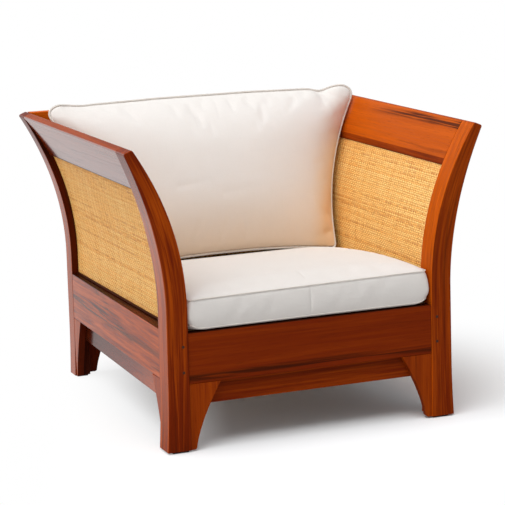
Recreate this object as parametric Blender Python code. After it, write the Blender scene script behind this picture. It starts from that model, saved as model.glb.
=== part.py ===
"""Armchair with flared horn posts, woven cane panels and two loose cushions.

Metres, +Z up, front towards -Y. The origin is on the floor, under the middle of the frame.
The seat is widest between the front posts. The arms sweep outwards above the seat and run
parallel from front to back. Pieces are made for the right side (+X) and mirrored to the left.
"""
import math

import bmesh
import bpy
from mathutils import Vector
from mathutils.bvhtree import BVHTree

# Fit between pieces that touch
FIT_GAP = 0.0003

# Frame as a whole
FRAME_DEPTH = 0.932
INNER_HALF = 0.3447
ARM_HEIGHT = 0.789
ARM_FLARE = 0.1313
BEND_Z = 0.360
CURVE_STEPS = 16

# Horn tips of the posts and the arm rails
TIP_THICKNESS = 0.0235
TIP_DROP = 0.010
TIP_RADIUS = 0.005
TIP_ARC_STEPS = 3

# Front posts
FRONT_POST_DEPTH = 0.066
FRONT_POST_THICKNESS = 0.0553
FRONT_OUT_POWER = 1.9
FRONT_IN_POWER = 2.15

# Rear posts
REAR_POST_DEPTH = 0.050
REAR_POST_THICKNESS = 0.0435
REAR_POST_INSET = 0.0135
REAR_OUT_POWER = 2.05
REAR_IN_POWER = 2.1

# Slight spread of the posts at the foot
FRONT_FOOT_SWEEP = 0.005
REAR_FOOT_SWEEP = 0.003
FOOT_SWEEP_Z = 0.160
FOOT_SWEEP_STEPS = 4

# Seat rails and the aprons under them
RAIL_TOP = 0.310
RAIL_HEIGHT = 0.132
RAIL_THICKNESS = 0.032
RAIL_SETBACK = 0.003
SIDE_RAIL_FRONT_SETBACK = 0.007
SIDE_RAIL_REAR_SETBACK = 0.0005
APRON_HEIGHT = 0.061
APRON_THICKNESS = 0.022

# Tapered leg brackets beside the posts, each with its width under the rail and at the floor
BRACKET_SETBACK = 0.004
SIDE_BRACKET_SETBACK = 0.0015
FRONT_SIDE_REVEAL = 0.0015
BRACKET_THICKNESS = 0.020
BRACKET_POWER = 1.45
BRACKET_STEPS = 7
FRONT_BRACKET = (0.086, 0.0155)
REAR_BRACKET = (0.098, 0.028)
FRONT_SIDE_BRACKET = (0.088, 0.026)
REAR_SIDE_BRACKET = (0.060, 0.010)

# Mortise and tenon joints
TENON_THICKNESS = 0.012
TENON_SHOULDER = 0.016
FRONT_RAIL_TENON = 0.030
REAR_RAIL_TENON = 0.024
SIDE_FRONT_TENON = 0.028
SIDE_REAR_TENON = 0.014
ARM_FRONT_TENON = 0.020
ARM_REAR_TENON = 0.014
ARM_TENON_OFFSET = 0.006
ARM_TENON_MARGIN = 0.026
BACK_RAIL_TENON = 0.014

# Pegs that lock the front rail's tenons
PEG_RADIUS = 0.004
PEG_SPACING = 0.067
PEG_DEPTH = 0.034
PEG_RECESS = 0.0005
PEG_SIDES = 12

# Foot glides
GLIDE_HEIGHT = 0.004
GLIDE_MARGIN = 0.006
GLIDE_STEM_RADIUS = 0.004
GLIDE_STEM_HEIGHT = 0.014

# Arm rails
ARM_RAIL_HEIGHT = 0.120
ARM_RAIL_FOOT = 0.018
ARM_RAIL_FALL = 0.008
ARM_CHAMFER_HEIGHT = 0.022
ARM_CHAMFER_DEPTH = 0.004

# Cane panels, their grooves and the sill beads they stand in
CANE_INSET = 0.009
CANE_THICKNESS = 0.003
GROOVE_DEPTH = 0.005
SILL_HEIGHT = 0.0045
SILL_WIDTH = 0.014
SILL_GROOVE = 0.0025

# Back top rail
BACK_RAIL_HEIGHT = 0.090
BACK_RAIL_THICKNESS = 0.024

# Seat deck: slats on two cleats, sloping down to the rear
SEAT_SLOPE = math.radians(2.0)
DECK_RISE = 0.0015
SLAT_COUNT = 7
SLAT_WIDTH = 0.062
SLAT_THICKNESS = 0.016
SLAT_END_ROOM = 0.0015
CLEAT_WIDTH = 0.022
CLEAT_HEIGHT = 0.026
DECK_END_ROOM = 0.003

# Raked back rest: foot rail, stiles and slats
BACK_RAKE = math.radians(20.0)
REST_FOOT_TOP = 0.300
REST_FOOT_HEIGHT = 0.050
REST_FOOT_WIDTH = 0.042
REST_FOOT_NOSE = 0.006
REST_FOOT_TENON = 0.012
STILE_TOP = 0.745
STILE_LAND = 0.002
STILE_THICKNESS = 0.024
STILE_WIDTH = 0.036
STILE_X = 0.200
REST_SLAT_COUNT = 4
REST_SLAT_WIDTH = 0.055
REST_SLAT_THICKNESS = 0.012
REST_SLAT_OVERHANG = 0.090
REST_SLAT_START = 0.080
REST_SLAT_END_ROOM = 0.020

# Seat cushion: a welted box cushion
SEAT_FRONT_SETBACK = 0.0045
SEAT_SIDE_ROOM = 0.0020
SEAT_REAR_ROOM = 0.003
SEAT_BOXING = 0.080
SEAT_CROWN = 0.026
SEAT_REAR_PRESS = 1.75
SEAT_CORNER = 0.016
SEAT_WELT = 0.003
SEAT_BOXING_BULGE = 0.002
SEAT_DRAW = 0.003
SEAT_UNDER_ROUND = 0.012
SEAT_CORNER_STEPS = 5
SEAT_SIDE_STEPS = 6

# Back cushion: a plump knife-edge pillow
BACK_HEIGHT = 0.452
BACK_FRONT_BULGE = 0.085
BACK_REAR_BULGE = 0.150
BACK_SIDE_ROOM = 0.010
BACK_SIDE_DRAW = 0.003
BACK_TOP_DRAW = 0.006
BACK_EAR_PULL = 0.004
BACK_BOTTOM_DROOP = 0.016
BACK_EDGE_POWER = 2.4
BACK_FULLNESS = 0.62
BACK_EDGE_HALF = 0.003
BACK_STEPS = 20
BACK_START = 0.045
SEATING_ROUNDS = 6

# Places worked out from the sizes above
FRONT_Y = -FRAME_DEPTH / 2
REAR_Y = FRAME_DEPTH / 2
FRONT_POST_BACK = FRONT_Y + FRONT_POST_DEPTH
REAR_POST_FRONT = REAR_Y - REAR_POST_DEPTH
REAR_POST_MID = REAR_Y - REAR_POST_DEPTH / 2
POST_BASE = GLIDE_HEIGHT + FIT_GAP
FRONT_OUT_X = INNER_HALF + FRONT_POST_THICKNESS
REAR_IN_X = INNER_HALF - REAR_POST_INSET
REAR_OUT_X = REAR_IN_X + REAR_POST_THICKNESS
TIP_IN_X = INNER_HALF + ARM_FLARE
TIP_OUT_X = TIP_IN_X + TIP_THICKNESS
TIP_OUT_Z = ARM_HEIGHT - TIP_DROP
RAIL_BOTTOM = RAIL_TOP - RAIL_HEIGHT
FRONT_RAIL_FACE = FRONT_Y + RAIL_SETBACK
FRONT_RAIL_BACK = FRONT_RAIL_FACE + RAIL_THICKNESS
REAR_RAIL_FACE = REAR_Y - RAIL_SETBACK
REAR_RAIL_FRONT = REAR_RAIL_FACE - RAIL_THICKNESS
TENON_LOW = RAIL_BOTTOM + TENON_SHOULDER
TENON_HIGH = RAIL_TOP - TENON_SHOULDER
ARM_RAIL_BOTTOM = ARM_HEIGHT - ARM_RAIL_HEIGHT
SILL_LOW = RAIL_TOP + FIT_GAP
SILL_TOP = SILL_LOW + SILL_HEIGHT
CANE_LOW = SILL_TOP - SILL_GROOVE
CANE_X = INNER_HALF + CANE_INSET
BACK_RAIL_BOTTOM = ARM_HEIGHT - BACK_RAIL_HEIGHT
BACK_RAIL_FRONT = REAR_POST_MID - BACK_RAIL_THICKNESS / 2
DECK_Z = RAIL_TOP + DECK_RISE
REST_Y = BACK_RAIL_FRONT - FIT_GAP - STILE_LAND - (STILE_TOP - REST_FOOT_TOP) * math.tan(BACK_RAKE)
REST_FOOT_FRONT = REST_Y - REST_FOOT_NOSE
REST_FACE = FIT_GAP + REST_SLAT_THICKNESS
SEAT_REAR_Y = REST_Y - REST_FACE / math.cos(BACK_RAKE) - SEAT_REAR_ROOM


# Scene, materials and mesh tools

def clear_scene():
    """Remove every object that the file holds."""
    for item in list(bpy.data.objects):
        bpy.data.objects.remove(item, do_unlink=True)


def make_material(name, colour, roughness):
    """Return a Principled material."""
    material = bpy.data.materials.new(name)
    material.use_nodes = True
    shader = material.node_tree.nodes["Principled BSDF"]
    shader.inputs["Base Color"].default_value = (*colour, 1.0)
    shader.inputs["Roughness"].default_value = roughness
    shader.inputs["Metallic"].default_value = 0.0
    return material


def add_object(name, bm, material):
    """Turn a bmesh into a named object with outward faces."""
    bmesh.ops.recalc_face_normals(bm, faces=bm.faces)
    mesh = bpy.data.meshes.new(name)
    bm.to_mesh(mesh)
    bm.free()
    item = bpy.data.objects.new(name, mesh)
    bpy.context.collection.objects.link(item)
    item.data.materials.append(material)
    return item


def prism(name, outline, axis, start, end, material):
    """Extrude a closed outline along one axis.

    The outline holds (y, z), (x, z) or (x, y) points for the axis "X", "Y" or "Z".
    """
    def place(point, along):
        first, second = point
        if axis == "X":
            return (along, first, second)
        if axis == "Y":
            return (first, along, second)
        return (first, second, along)

    bm = bmesh.new()
    near = [bm.verts.new(place(point, start)) for point in outline]
    far = [bm.verts.new(place(point, end)) for point in outline]
    bm.faces.new(near)
    bm.faces.new(list(reversed(far)))
    count = len(outline)
    for index in range(count):
        after = (index + 1) % count
        bm.faces.new((near[index], far[index], far[after], near[after]))
    return add_object(name, bm, material)


def box(name, low, high, material):
    """Return a box between two corners."""
    outline = [(low[0], low[1]), (high[0], low[1]), (high[0], high[1]), (low[0], high[1])]
    return prism(name, outline, "Z", low[2], high[2], material)


def round_bar(name, centre, radius, axis, start, end, sides, material):
    """Return a round bar with the given centre in the plane across its axis."""
    outline = []
    for index in range(sides):
        angle = 2 * math.pi * index / sides
        outline.append((centre[0] + radius * math.cos(angle), centre[1] + radius * math.sin(angle)))
    return prism(name, outline, axis, start, end, material)


def mirrored(outline, side):
    """Return an outline with its first coordinate on the given side, 1 for right, -1 for left."""
    return [(side * first, second) for first, second in outline]


def rounded(before, corner, after, radius, steps):
    """Return the points of an arc that rounds one corner of an outline."""
    corner = Vector(corner)
    to_before = (Vector(before) - corner).normalized()
    to_after = (Vector(after) - corner).normalized()
    half = to_before.angle(to_after) / 2
    bisector = (to_before + to_after).normalized()
    centre = corner + bisector * (radius / math.sin(half))
    reach = radius / math.tan(half)
    first = corner + to_before * reach - centre
    last = corner + to_after * reach - centre
    points = []
    for index in range(steps + 1):
        arm = first.lerp(last, index / steps).normalized() * radius
        points.append(tuple(centre + arm))
    return points


def bake(item):
    """Replace an object's mesh by what its modifiers make of it."""
    graph = bpy.context.evaluated_depsgraph_get()
    mesh = bpy.data.meshes.new_from_object(item.evaluated_get(graph))
    item.modifiers.clear()
    item.data = mesh


def combine(item, operation, others):
    """Join other solids to an object, or cut them out of it, and remove them."""
    for other in others:
        modifier = item.modifiers.new(operation.title(), "BOOLEAN")
        modifier.operation = operation
        modifier.solver = "EXACT"
        modifier.object = other
    bake(item)
    for other in others:
        bpy.data.objects.remove(other, do_unlink=True)
    return item


def spread(start, end, steps):
    """Return evenly spaced values from start to end, both included."""
    return [start + (end - start) * index / steps for index in range(steps + 1)]


# Curves that the posts, arm rails and cane share

def sweep(z, base, tip, tip_z, power):
    """Return the distance from the middle plane of a face that sweeps outwards above the bend."""
    if z <= BEND_Z:
        return base
    return base + (tip - base) * ((z - BEND_Z) / (tip_z - BEND_Z)) ** power


def foot_share(z):
    """Return how far a post has spread at a height, 1 at the floor and 0 above the spread."""
    return max(0.0, 1 - z / FOOT_SWEEP_Z) ** 2


def arm_inner(z):
    """Return the inner face of the front posts and the arm rails."""
    return sweep(z, INNER_HALF, TIP_IN_X, ARM_HEIGHT, FRONT_IN_POWER)


def front_outer(z):
    """Return the outer face of the front posts."""
    foot = FRONT_FOOT_SWEEP * foot_share(z)
    return sweep(z, FRONT_OUT_X, TIP_OUT_X, TIP_OUT_Z, FRONT_OUT_POWER) + foot


def rear_inner(z):
    """Return the inner face of the rear posts."""
    return sweep(z, REAR_IN_X, TIP_IN_X, ARM_HEIGHT, REAR_IN_POWER)


def rear_outer(z):
    """Return the outer face of the rear posts."""
    foot = REAR_FOOT_SWEEP * foot_share(z)
    return sweep(z, REAR_OUT_X, TIP_OUT_X, TIP_OUT_Z, REAR_OUT_POWER) + foot


def arm_thickness(z):
    """Return the arm rail's thickness, from its thin foot to the tip."""
    share = (z - ARM_RAIL_BOTTOM) / (TIP_OUT_Z - ARM_RAIL_BOTTOM)
    return ARM_RAIL_FOOT + (TIP_OUT_X - arm_inner(TIP_OUT_Z) - ARM_RAIL_FOOT) * share


def bent_heights(low, high):
    """Return heights from low to high, close together where the pieces curve."""
    if high <= BEND_Z:
        return [low, high]
    start = max(low, BEND_Z)
    heights = spread(start, high, CURVE_STEPS)
    return heights if low >= BEND_Z else [low] + heights


def with_tip(outer, inner):
    """Join an outer edge going up and an inner edge going down with a rounded tip."""
    outer_tip = rounded(outer[-2], outer[-1], inner[0], TIP_RADIUS, TIP_ARC_STEPS)
    inner_tip = rounded(outer[-1], inner[0], inner[1], TIP_RADIUS, TIP_ARC_STEPS)
    return outer[:-1] + outer_tip + inner_tip + inner[1:]


# Posts and what they stand on

def post_outline(outer_face, inner_face):
    """Return a post's front view on the right side."""
    foot = spread(POST_BASE, FOOT_SWEEP_Z, FOOT_SWEEP_STEPS)
    up = foot + bent_heights(BEND_Z, TIP_OUT_Z)
    down = list(reversed(bent_heights(POST_BASE, ARM_HEIGHT)))
    outer = [(outer_face(z), z) for z in up]
    inner = [(inner_face(z), z) for z in down]
    return with_tip(outer, inner)


def glide_stem(name, x, y, gap, material):
    """Return the stem of a foot glide, or the hole for it."""
    return round_bar(name, (x, y), GLIDE_STEM_RADIUS + gap, "Z", GLIDE_HEIGHT / 2,
                     GLIDE_HEIGHT + GLIDE_STEM_HEIGHT + gap, PEG_SIDES, material)


def peg_heights():
    """Return the heights of the two pegs of one front joint."""
    middle = (RAIL_TOP + RAIL_BOTTOM) / 2
    return (middle - PEG_SPACING / 2, middle + PEG_SPACING / 2)


def peg_bar(name, side, z, gap, material):
    """Return a peg through a front tenon, or the hole for it."""
    centre = (side * (INNER_HALF + FRONT_RAIL_TENON / 2), z)
    near = FRONT_Y + PEG_RECESS if gap == 0 else FRONT_Y - PEG_RECESS
    return round_bar(name, centre, PEG_RADIUS + gap, "Y", near, FRONT_Y + PEG_DEPTH + gap,
                     PEG_SIDES, material)


def make_posts(side, label, wood):
    """Make one side's front and rear post with their mortises, grooves and holes."""
    front = prism(label + "_front_post", mirrored(post_outline(front_outer, arm_inner), side),
                  "Y", FRONT_Y, FRONT_POST_BACK, wood)
    cuts = [front_tenon_bar("cut", side, FIT_GAP, wood),
            side_tenon_bar("cut", side, True, FIT_GAP, wood),
            arm_tenon_bar("cut", side, FIT_GAP, wood),
            side_cane_sheet("cut", side, FIT_GAP, wood),
            glide_stem("cut", *glide_place(side, True), FIT_GAP, wood)]
    cuts += [peg_bar("cut", side, z, FIT_GAP, wood) for z in peg_heights()]
    combine(front, "DIFFERENCE", cuts)

    rear = prism(label + "_rear_post", mirrored(post_outline(rear_outer, rear_inner), side),
                 "Y", REAR_POST_FRONT, REAR_Y, wood)
    combine(rear, "DIFFERENCE", [
        rear_tenon_bar("cut", FIT_GAP, wood),
        side_tenon_bar("cut", side, False, FIT_GAP, wood),
        arm_tenon_bar("cut", side, FIT_GAP, wood),
        side_cane_sheet("cut", side, FIT_GAP, wood),
        back_rail_tenon("cut", FIT_GAP, wood),
        back_cane_sheet("cut", FIT_GAP, wood),
        glide_stem("cut", *glide_place(side, False), FIT_GAP, wood)])


def glide_place(side, is_front):
    """Return the middle of a foot in plan."""
    if is_front:
        return side * (INNER_HALF + FRONT_OUT_X) / 2, (FRONT_Y + FRONT_POST_BACK) / 2
    return side * (REAR_IN_X + REAR_OUT_X) / 2, REAR_POST_MID


def make_glide(name, side, is_front, dark):
    """Make a flat glide with a stem that is pressed into the foot."""
    x, y = glide_place(side, is_front)
    width = FRONT_POST_THICKNESS if is_front else REAR_POST_THICKNESS
    depth = FRONT_POST_DEPTH if is_front else REAR_POST_DEPTH
    half_x = width / 2 - GLIDE_MARGIN
    half_y = depth / 2 - GLIDE_MARGIN
    pad = box(name, (x - half_x, y - half_y, 0.0), (x + half_x, y + half_y, GLIDE_HEIGHT), dark)
    return combine(pad, "UNION", [glide_stem("stem", x, y, 0.0, dark)])


# Seat rails, aprons and leg brackets

def front_tenon_bar(name, side, gap, wood):
    """Return the end tenon of the front rail on one side, or its mortise."""
    middle = (FRONT_RAIL_FACE + FRONT_RAIL_BACK) / 2
    half = TENON_THICKNESS / 2 + gap
    ends = sorted((side * (INNER_HALF - TENON_THICKNESS), side * (INNER_HALF + FRONT_RAIL_TENON + gap)))
    low = (ends[0], middle - half, TENON_LOW - gap)
    high = (ends[1], middle + half, TENON_HIGH + gap)
    return box(name, low, high, wood)


def rear_tenon_bar(name, gap, wood):
    """Return the bar that makes both tenons of the rear rail, or their mortises."""
    middle = (REAR_RAIL_FACE + REAR_RAIL_FRONT) / 2
    half = TENON_THICKNESS / 2 + gap
    reach = REAR_IN_X + REAR_RAIL_TENON + gap
    return box(name, (-reach, middle - half, TENON_LOW - gap), (reach, middle + half, TENON_HIGH + gap), wood)


def side_rail_outer(is_front):
    """Return the outer face of a side rail at its front or rear end."""
    if is_front:
        return FRONT_OUT_X - SIDE_RAIL_FRONT_SETBACK
    return REAR_OUT_X - SIDE_RAIL_REAR_SETBACK


def side_tenon_bar(name, side, is_front, gap, wood):
    """Return one end tenon of a side rail, or its mortise."""
    middle = side * (INNER_HALF + side_rail_outer(is_front)) / 2
    half = TENON_THICKNESS / 2 + gap
    if is_front:
        near, far = FRONT_POST_BACK - SIDE_FRONT_TENON - gap, FRONT_POST_BACK + TENON_THICKNESS
    else:
        near, far = REAR_POST_FRONT - TENON_THICKNESS, REAR_POST_FRONT + SIDE_REAR_TENON + gap
    return box(name, (middle - half, near, TENON_LOW - gap), (middle + half, far, TENON_HIGH + gap), wood)


def rest_foot_bar(name, gap, wood):
    """Return the bar that makes the foot rail's two tenons, or their mortises."""
    reach = INNER_HALF + REST_FOOT_TENON + gap
    inset = REST_FOOT_WIDTH / 4 - gap
    low = (-reach, REST_FOOT_FRONT + inset, REST_FOOT_TOP - REST_FOOT_HEIGHT + inset)
    high = (reach, REST_FOOT_FRONT + REST_FOOT_WIDTH - inset, REST_FOOT_TOP - inset)
    return box(name, low, high, wood)


def make_seat_rails(wood):
    """Make the four seat rails with their tenons."""
    front = box("front_seat_rail", (-INNER_HALF + FIT_GAP, FRONT_RAIL_FACE, RAIL_BOTTOM),
                (INNER_HALF - FIT_GAP, FRONT_RAIL_BACK, RAIL_TOP), wood)
    combine(front, "UNION", [front_tenon_bar("tenon", side, 0.0, wood) for side in (-1, 1)])
    holes = [peg_bar("cut", side, z, FIT_GAP, wood) for side in (-1, 1) for z in peg_heights()]
    combine(front, "DIFFERENCE", holes)

    rear = box("rear_seat_rail", (-REAR_IN_X + FIT_GAP, REAR_RAIL_FRONT, RAIL_BOTTOM),
               (REAR_IN_X - FIT_GAP, REAR_RAIL_FACE, RAIL_TOP), wood)
    combine(rear, "UNION", [rear_tenon_bar("tenon", 0.0, wood)])

    for side, label in ((-1, "left"), (1, "right")):
        near, far = FRONT_POST_BACK + FIT_GAP, REAR_POST_FRONT - FIT_GAP
        plan = [(INNER_HALF, near), (side_rail_outer(True), near),
                (side_rail_outer(False), far), (INNER_HALF, far)]
        rail = prism(label + "_seat_rail", mirrored(plan, side), "Z", RAIL_BOTTOM, RAIL_TOP, wood)
        combine(rail, "UNION", [side_tenon_bar("tenon", side, end, 0.0, wood) for end in (True, False)])
        combine(rail, "DIFFERENCE", [rest_foot_bar("cut", FIT_GAP, wood)])


def make_aprons(wood):
    """Make the strips under the seat rails, which run behind the leg brackets."""
    low, high = RAIL_BOTTOM - APRON_HEIGHT, RAIL_BOTTOM - FIT_GAP
    inset = BRACKET_SETBACK + BRACKET_THICKNESS + FIT_GAP
    box("front_apron", (-INNER_HALF + FIT_GAP, FRONT_Y + inset, low),
        (INNER_HALF - FIT_GAP, FRONT_Y + inset + APRON_THICKNESS, high), wood)
    box("rear_apron", (-REAR_IN_X + FIT_GAP, REAR_Y - inset - APRON_THICKNESS, low),
        (REAR_IN_X - FIT_GAP, REAR_Y - inset, high), wood)
    near, far = FRONT_POST_BACK + FIT_GAP, REAR_POST_FRONT - FIT_GAP
    inset = SIDE_BRACKET_SETBACK + BRACKET_THICKNESS + FIT_GAP
    front_x = FRONT_OUT_X - inset
    bracket_end = REAR_POST_FRONT - REAR_SIDE_BRACKET[0]
    rear_x = front_x + (REAR_OUT_X - inset - front_x) * (far - near) / (bracket_end - near)
    plan = [(front_x - APRON_THICKNESS, near), (front_x, near),
            (rear_x, far), (rear_x - APRON_THICKNESS, far)]
    for side, label in ((-1, "left"), (1, "right")):
        prism(label + "_apron", mirrored(plan, side), "Z", low, high, wood)


def bracket_profile(size):
    """Return a bracket's outline as (distance from the post, height)."""
    top_width, foot_width = size
    top = RAIL_BOTTOM - FIT_GAP
    edge = []
    for z in spread(POST_BASE, top, BRACKET_STEPS):
        share = (z - POST_BASE) / (top - POST_BASE)
        edge.append((FIT_GAP + foot_width + (top_width - foot_width) * share ** BRACKET_POWER, z))
    return [(FIT_GAP, POST_BASE)] + edge + [(FIT_GAP, top)]


def make_brackets(side, label, wood):
    """Make the four leg brackets of one side, two beside each post."""
    front = [(side * (INNER_HALF - reach), z) for reach, z in bracket_profile(FRONT_BRACKET)]
    face = FRONT_Y + BRACKET_SETBACK
    prism(label + "_front_leg_bracket", front, "Y", face, face + BRACKET_THICKNESS, wood)
    rear = [(side * (REAR_IN_X - reach), z) for reach, z in bracket_profile(REAR_BRACKET)]
    face = REAR_Y - BRACKET_SETBACK
    prism(label + "_rear_leg_bracket", rear, "Y", face - BRACKET_THICKNESS, face, wood)

    behind = [(FRONT_POST_BACK + reach, z) for reach, z in bracket_profile(FRONT_SIDE_BRACKET)]
    face = side_rail_outer(True) - FRONT_SIDE_REVEAL
    back = FRONT_OUT_X - SIDE_BRACKET_SETBACK - BRACKET_THICKNESS
    prism(label + "_front_side_bracket", behind, "X", side * face, side * back, wood)
    ahead = [(REAR_POST_FRONT - reach, z) for reach, z in bracket_profile(REAR_SIDE_BRACKET)]
    face = REAR_OUT_X - SIDE_BRACKET_SETBACK
    prism(label + "_rear_side_bracket", ahead, "X", side * face, side * (face - BRACKET_THICKNESS), wood)


def make_pegs(side, label, dark):
    """Make the two pegs of one front joint."""
    for z, place in zip(peg_heights(), ("lower", "upper")):
        peg_bar(label + "_" + place + "_peg", side, z, 0.0, dark)


# Arm rails, cane panels and sill beads

def arm_tenon_bar(name, side, gap, wood):
    """Return the bar that makes both tenons of an arm rail, or their mortises."""
    heights = spread(ARM_RAIL_BOTTOM + ARM_TENON_MARGIN - gap, TIP_OUT_Z - ARM_TENON_MARGIN + gap,
                     CURVE_STEPS // 4)
    inner = [(arm_inner(z) + ARM_TENON_OFFSET - gap, z) for z in heights]
    outer = [(arm_inner(z) + ARM_TENON_OFFSET + TENON_THICKNESS + gap, z) for z in heights]
    outline = inner + list(reversed(outer))
    return prism(name, mirrored(outline, side), "Y", FRONT_POST_BACK - ARM_FRONT_TENON - gap,
                 REAR_POST_FRONT + ARM_REAR_TENON + gap, wood)


def side_cane_sheet(name, side, gap, material):
    """Return a side cane panel, or the groove that it sits in."""
    half = CANE_THICKNESS / 2 + gap
    heights = bent_heights(CANE_LOW - gap, ARM_RAIL_BOTTOM + GROOVE_DEPTH + gap)
    inner = [(arm_inner(z) + CANE_INSET - half, z) for z in heights]
    outer = [(arm_inner(z) + CANE_INSET + half, z) for z in heights]
    outline = inner + list(reversed(outer))
    return prism(name, mirrored(outline, side), "Y", FRONT_POST_BACK - GROOVE_DEPTH - gap,
                 REAR_POST_FRONT + GROOVE_DEPTH + gap, material)


def make_arm(side, label, wood, cane):
    """Make an arm rail, the cane panel under it and the panel's sill bead."""
    near, far = FRONT_POST_BACK + FIT_GAP, REAR_POST_FRONT - FIT_GAP
    face_low = ARM_RAIL_BOTTOM + ARM_CHAMFER_HEIGHT
    foot_x = arm_inner(ARM_RAIL_BOTTOM)
    outer_heights = spread(ARM_RAIL_BOTTOM - ARM_RAIL_FALL, TIP_OUT_Z, CURVE_STEPS // 2)
    outer = [(arm_inner(z) + arm_thickness(z), z) for z in outer_heights]
    inner = [(arm_inner(z), z) for z in spread(ARM_HEIGHT, face_low, CURVE_STEPS // 2)]
    outline = with_tip(outer, inner) + [(foot_x + ARM_CHAMFER_DEPTH, ARM_RAIL_BOTTOM)]
    rail = prism(label + "_arm_rail", mirrored(outline, side), "Y", near, far, wood)
    combine(rail, "UNION", [arm_tenon_bar("tenon", side, 0.0, wood)])
    combine(rail, "DIFFERENCE", [side_cane_sheet("cut", side, FIT_GAP, wood)])

    side_cane_sheet(label + "_cane_panel", side, 0.0, cane)

    ends = sorted((side * (CANE_X - SILL_WIDTH / 2), side * (CANE_X + SILL_WIDTH / 2)))
    sill = box(label + "_cane_sill", (ends[0], near, SILL_LOW), (ends[1], far, SILL_TOP), wood)
    combine(sill, "DIFFERENCE", [side_cane_sheet("cut", side, FIT_GAP, wood)])


# Back of the chair

def back_rail_tenon(name, gap, wood):
    """Return the bar that makes both tenons of the back top rail, or their mortises."""
    half = TENON_THICKNESS / 2 + gap
    low = BACK_RAIL_BOTTOM + TENON_SHOULDER - gap
    high = ARM_HEIGHT - 2 * TENON_SHOULDER + gap
    reach = rear_inner(low) + BACK_RAIL_TENON + gap
    return box(name, (-reach, REAR_POST_MID - half, low), (reach, REAR_POST_MID + half, high), wood)


def back_cane_sheet(name, gap, material):
    """Return the back cane panel, or the groove that it sits in."""
    half = CANE_THICKNESS / 2 + gap
    heights = bent_heights(CANE_LOW - gap, BACK_RAIL_BOTTOM + GROOVE_DEPTH + gap)
    right = [(rear_inner(z) + GROOVE_DEPTH + gap, z) for z in heights]
    outline = right + mirrored(reversed(right), -1)
    return prism(name, outline, "Y", REAR_POST_MID - half, REAR_POST_MID + half, material)


def make_back(wood, cane):
    """Make the back top rail, the back cane panel and its sill bead."""
    heights = spread(BACK_RAIL_BOTTOM, ARM_HEIGHT, CURVE_STEPS // 2)
    right = [(rear_inner(z) - FIT_GAP, z) for z in heights]
    rail = prism("back_top_rail", right + mirrored(reversed(right), -1), "Y", BACK_RAIL_FRONT,
                 BACK_RAIL_FRONT + BACK_RAIL_THICKNESS, wood)
    combine(rail, "UNION", [back_rail_tenon("tenon", 0.0, wood)])
    combine(rail, "DIFFERENCE", [back_cane_sheet("cut", FIT_GAP, wood)])

    back_cane_sheet("back_cane_panel", 0.0, cane)

    reach = REAR_IN_X - FIT_GAP
    sill = box("back_cane_sill", (-reach, REAR_POST_MID - SILL_WIDTH / 2, SILL_LOW),
               (reach, REAR_POST_MID + SILL_WIDTH / 2, SILL_TOP), wood)
    combine(sill, "DIFFERENCE", [back_cane_sheet("cut", FIT_GAP, wood)])


# Seat deck and back rest

def make_deck(plain):
    """Make the sloping seat deck under one tilted empty, and return the empty."""
    deck = bpy.data.objects.new("seat_deck", None)
    bpy.context.collection.objects.link(deck)
    deck.location = (0.0, FRONT_RAIL_BACK, DECK_Z)
    deck.rotation_euler = (-SEAT_SLOPE, 0.0, 0.0)
    length = (REST_FOOT_FRONT - FRONT_RAIL_BACK) / math.cos(SEAT_SLOPE) - DECK_END_ROOM
    cleat_top = -SLAT_THICKNESS - FIT_GAP
    for side, label in ((-1, "left"), (1, "right")):
        ends = sorted((side * (INNER_HALF - FIT_GAP), side * (INNER_HALF - FIT_GAP - CLEAT_WIDTH)))
        cleat = box(label + "_deck_cleat", (ends[0], DECK_END_ROOM, cleat_top - CLEAT_HEIGHT),
                    (ends[1], length, cleat_top), plain)
        cleat.parent = deck
    reach = INNER_HALF - SLAT_END_ROOM
    pitch = (length - DECK_END_ROOM - SLAT_WIDTH) / (SLAT_COUNT - 1)
    for index in range(SLAT_COUNT):
        near = DECK_END_ROOM + pitch * index
        slat = box(f"seat_slat_{index + 1}", (-reach, near, -SLAT_THICKNESS),
                   (reach, near + SLAT_WIDTH, 0.0), plain)
        slat.parent = deck
    return deck


def make_rest(plain):
    """Make the raked back rest and return the empty that its slats hang on."""
    reach = INNER_HALF - FIT_GAP
    foot = box("rest_foot_rail", (-reach, REST_FOOT_FRONT, REST_FOOT_TOP - REST_FOOT_HEIGHT),
               (reach, REST_FOOT_FRONT + REST_FOOT_WIDTH, REST_FOOT_TOP), plain)
    combine(foot, "UNION", [rest_foot_bar("tenon", 0.0, plain)])

    rise = math.tan(BACK_RAKE)
    thickness = STILE_THICKNESS / math.cos(BACK_RAKE)
    low, face = REST_FOOT_TOP + FIT_GAP, BACK_RAIL_FRONT - FIT_GAP
    foot_y = REST_Y + FIT_GAP * rise
    outline = [(foot_y, low), (foot_y + thickness, low),
               (face, low + (face - foot_y - thickness) / rise),
               (face, STILE_TOP), (face - STILE_LAND, STILE_TOP)]
    for side, label in ((-1, "left"), (1, "right")):
        middle = side * STILE_X
        prism(label + "_rest_stile", outline, "X", middle - STILE_WIDTH / 2, middle + STILE_WIDTH / 2, plain)

    rest = bpy.data.objects.new("back_rest", None)
    bpy.context.collection.objects.link(rest)
    rest.location = (0.0, REST_Y, REST_FOOT_TOP)
    rest.rotation_euler = (-BACK_RAKE, 0.0, 0.0)
    length = (STILE_TOP - REST_FOOT_TOP) / math.cos(BACK_RAKE)
    pitch = (length - REST_SLAT_START - REST_SLAT_WIDTH - REST_SLAT_END_ROOM) / (REST_SLAT_COUNT - 1)
    reach = STILE_X + REST_SLAT_OVERHANG
    for index in range(REST_SLAT_COUNT):
        start = REST_SLAT_START + pitch * index
        slat = box(f"rest_slat_{index + 1}", (-reach, -REST_FACE, start),
                   (reach, -FIT_GAP, start + REST_SLAT_WIDTH), plain)
        slat.parent = rest
    return rest


# Cushions

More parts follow.
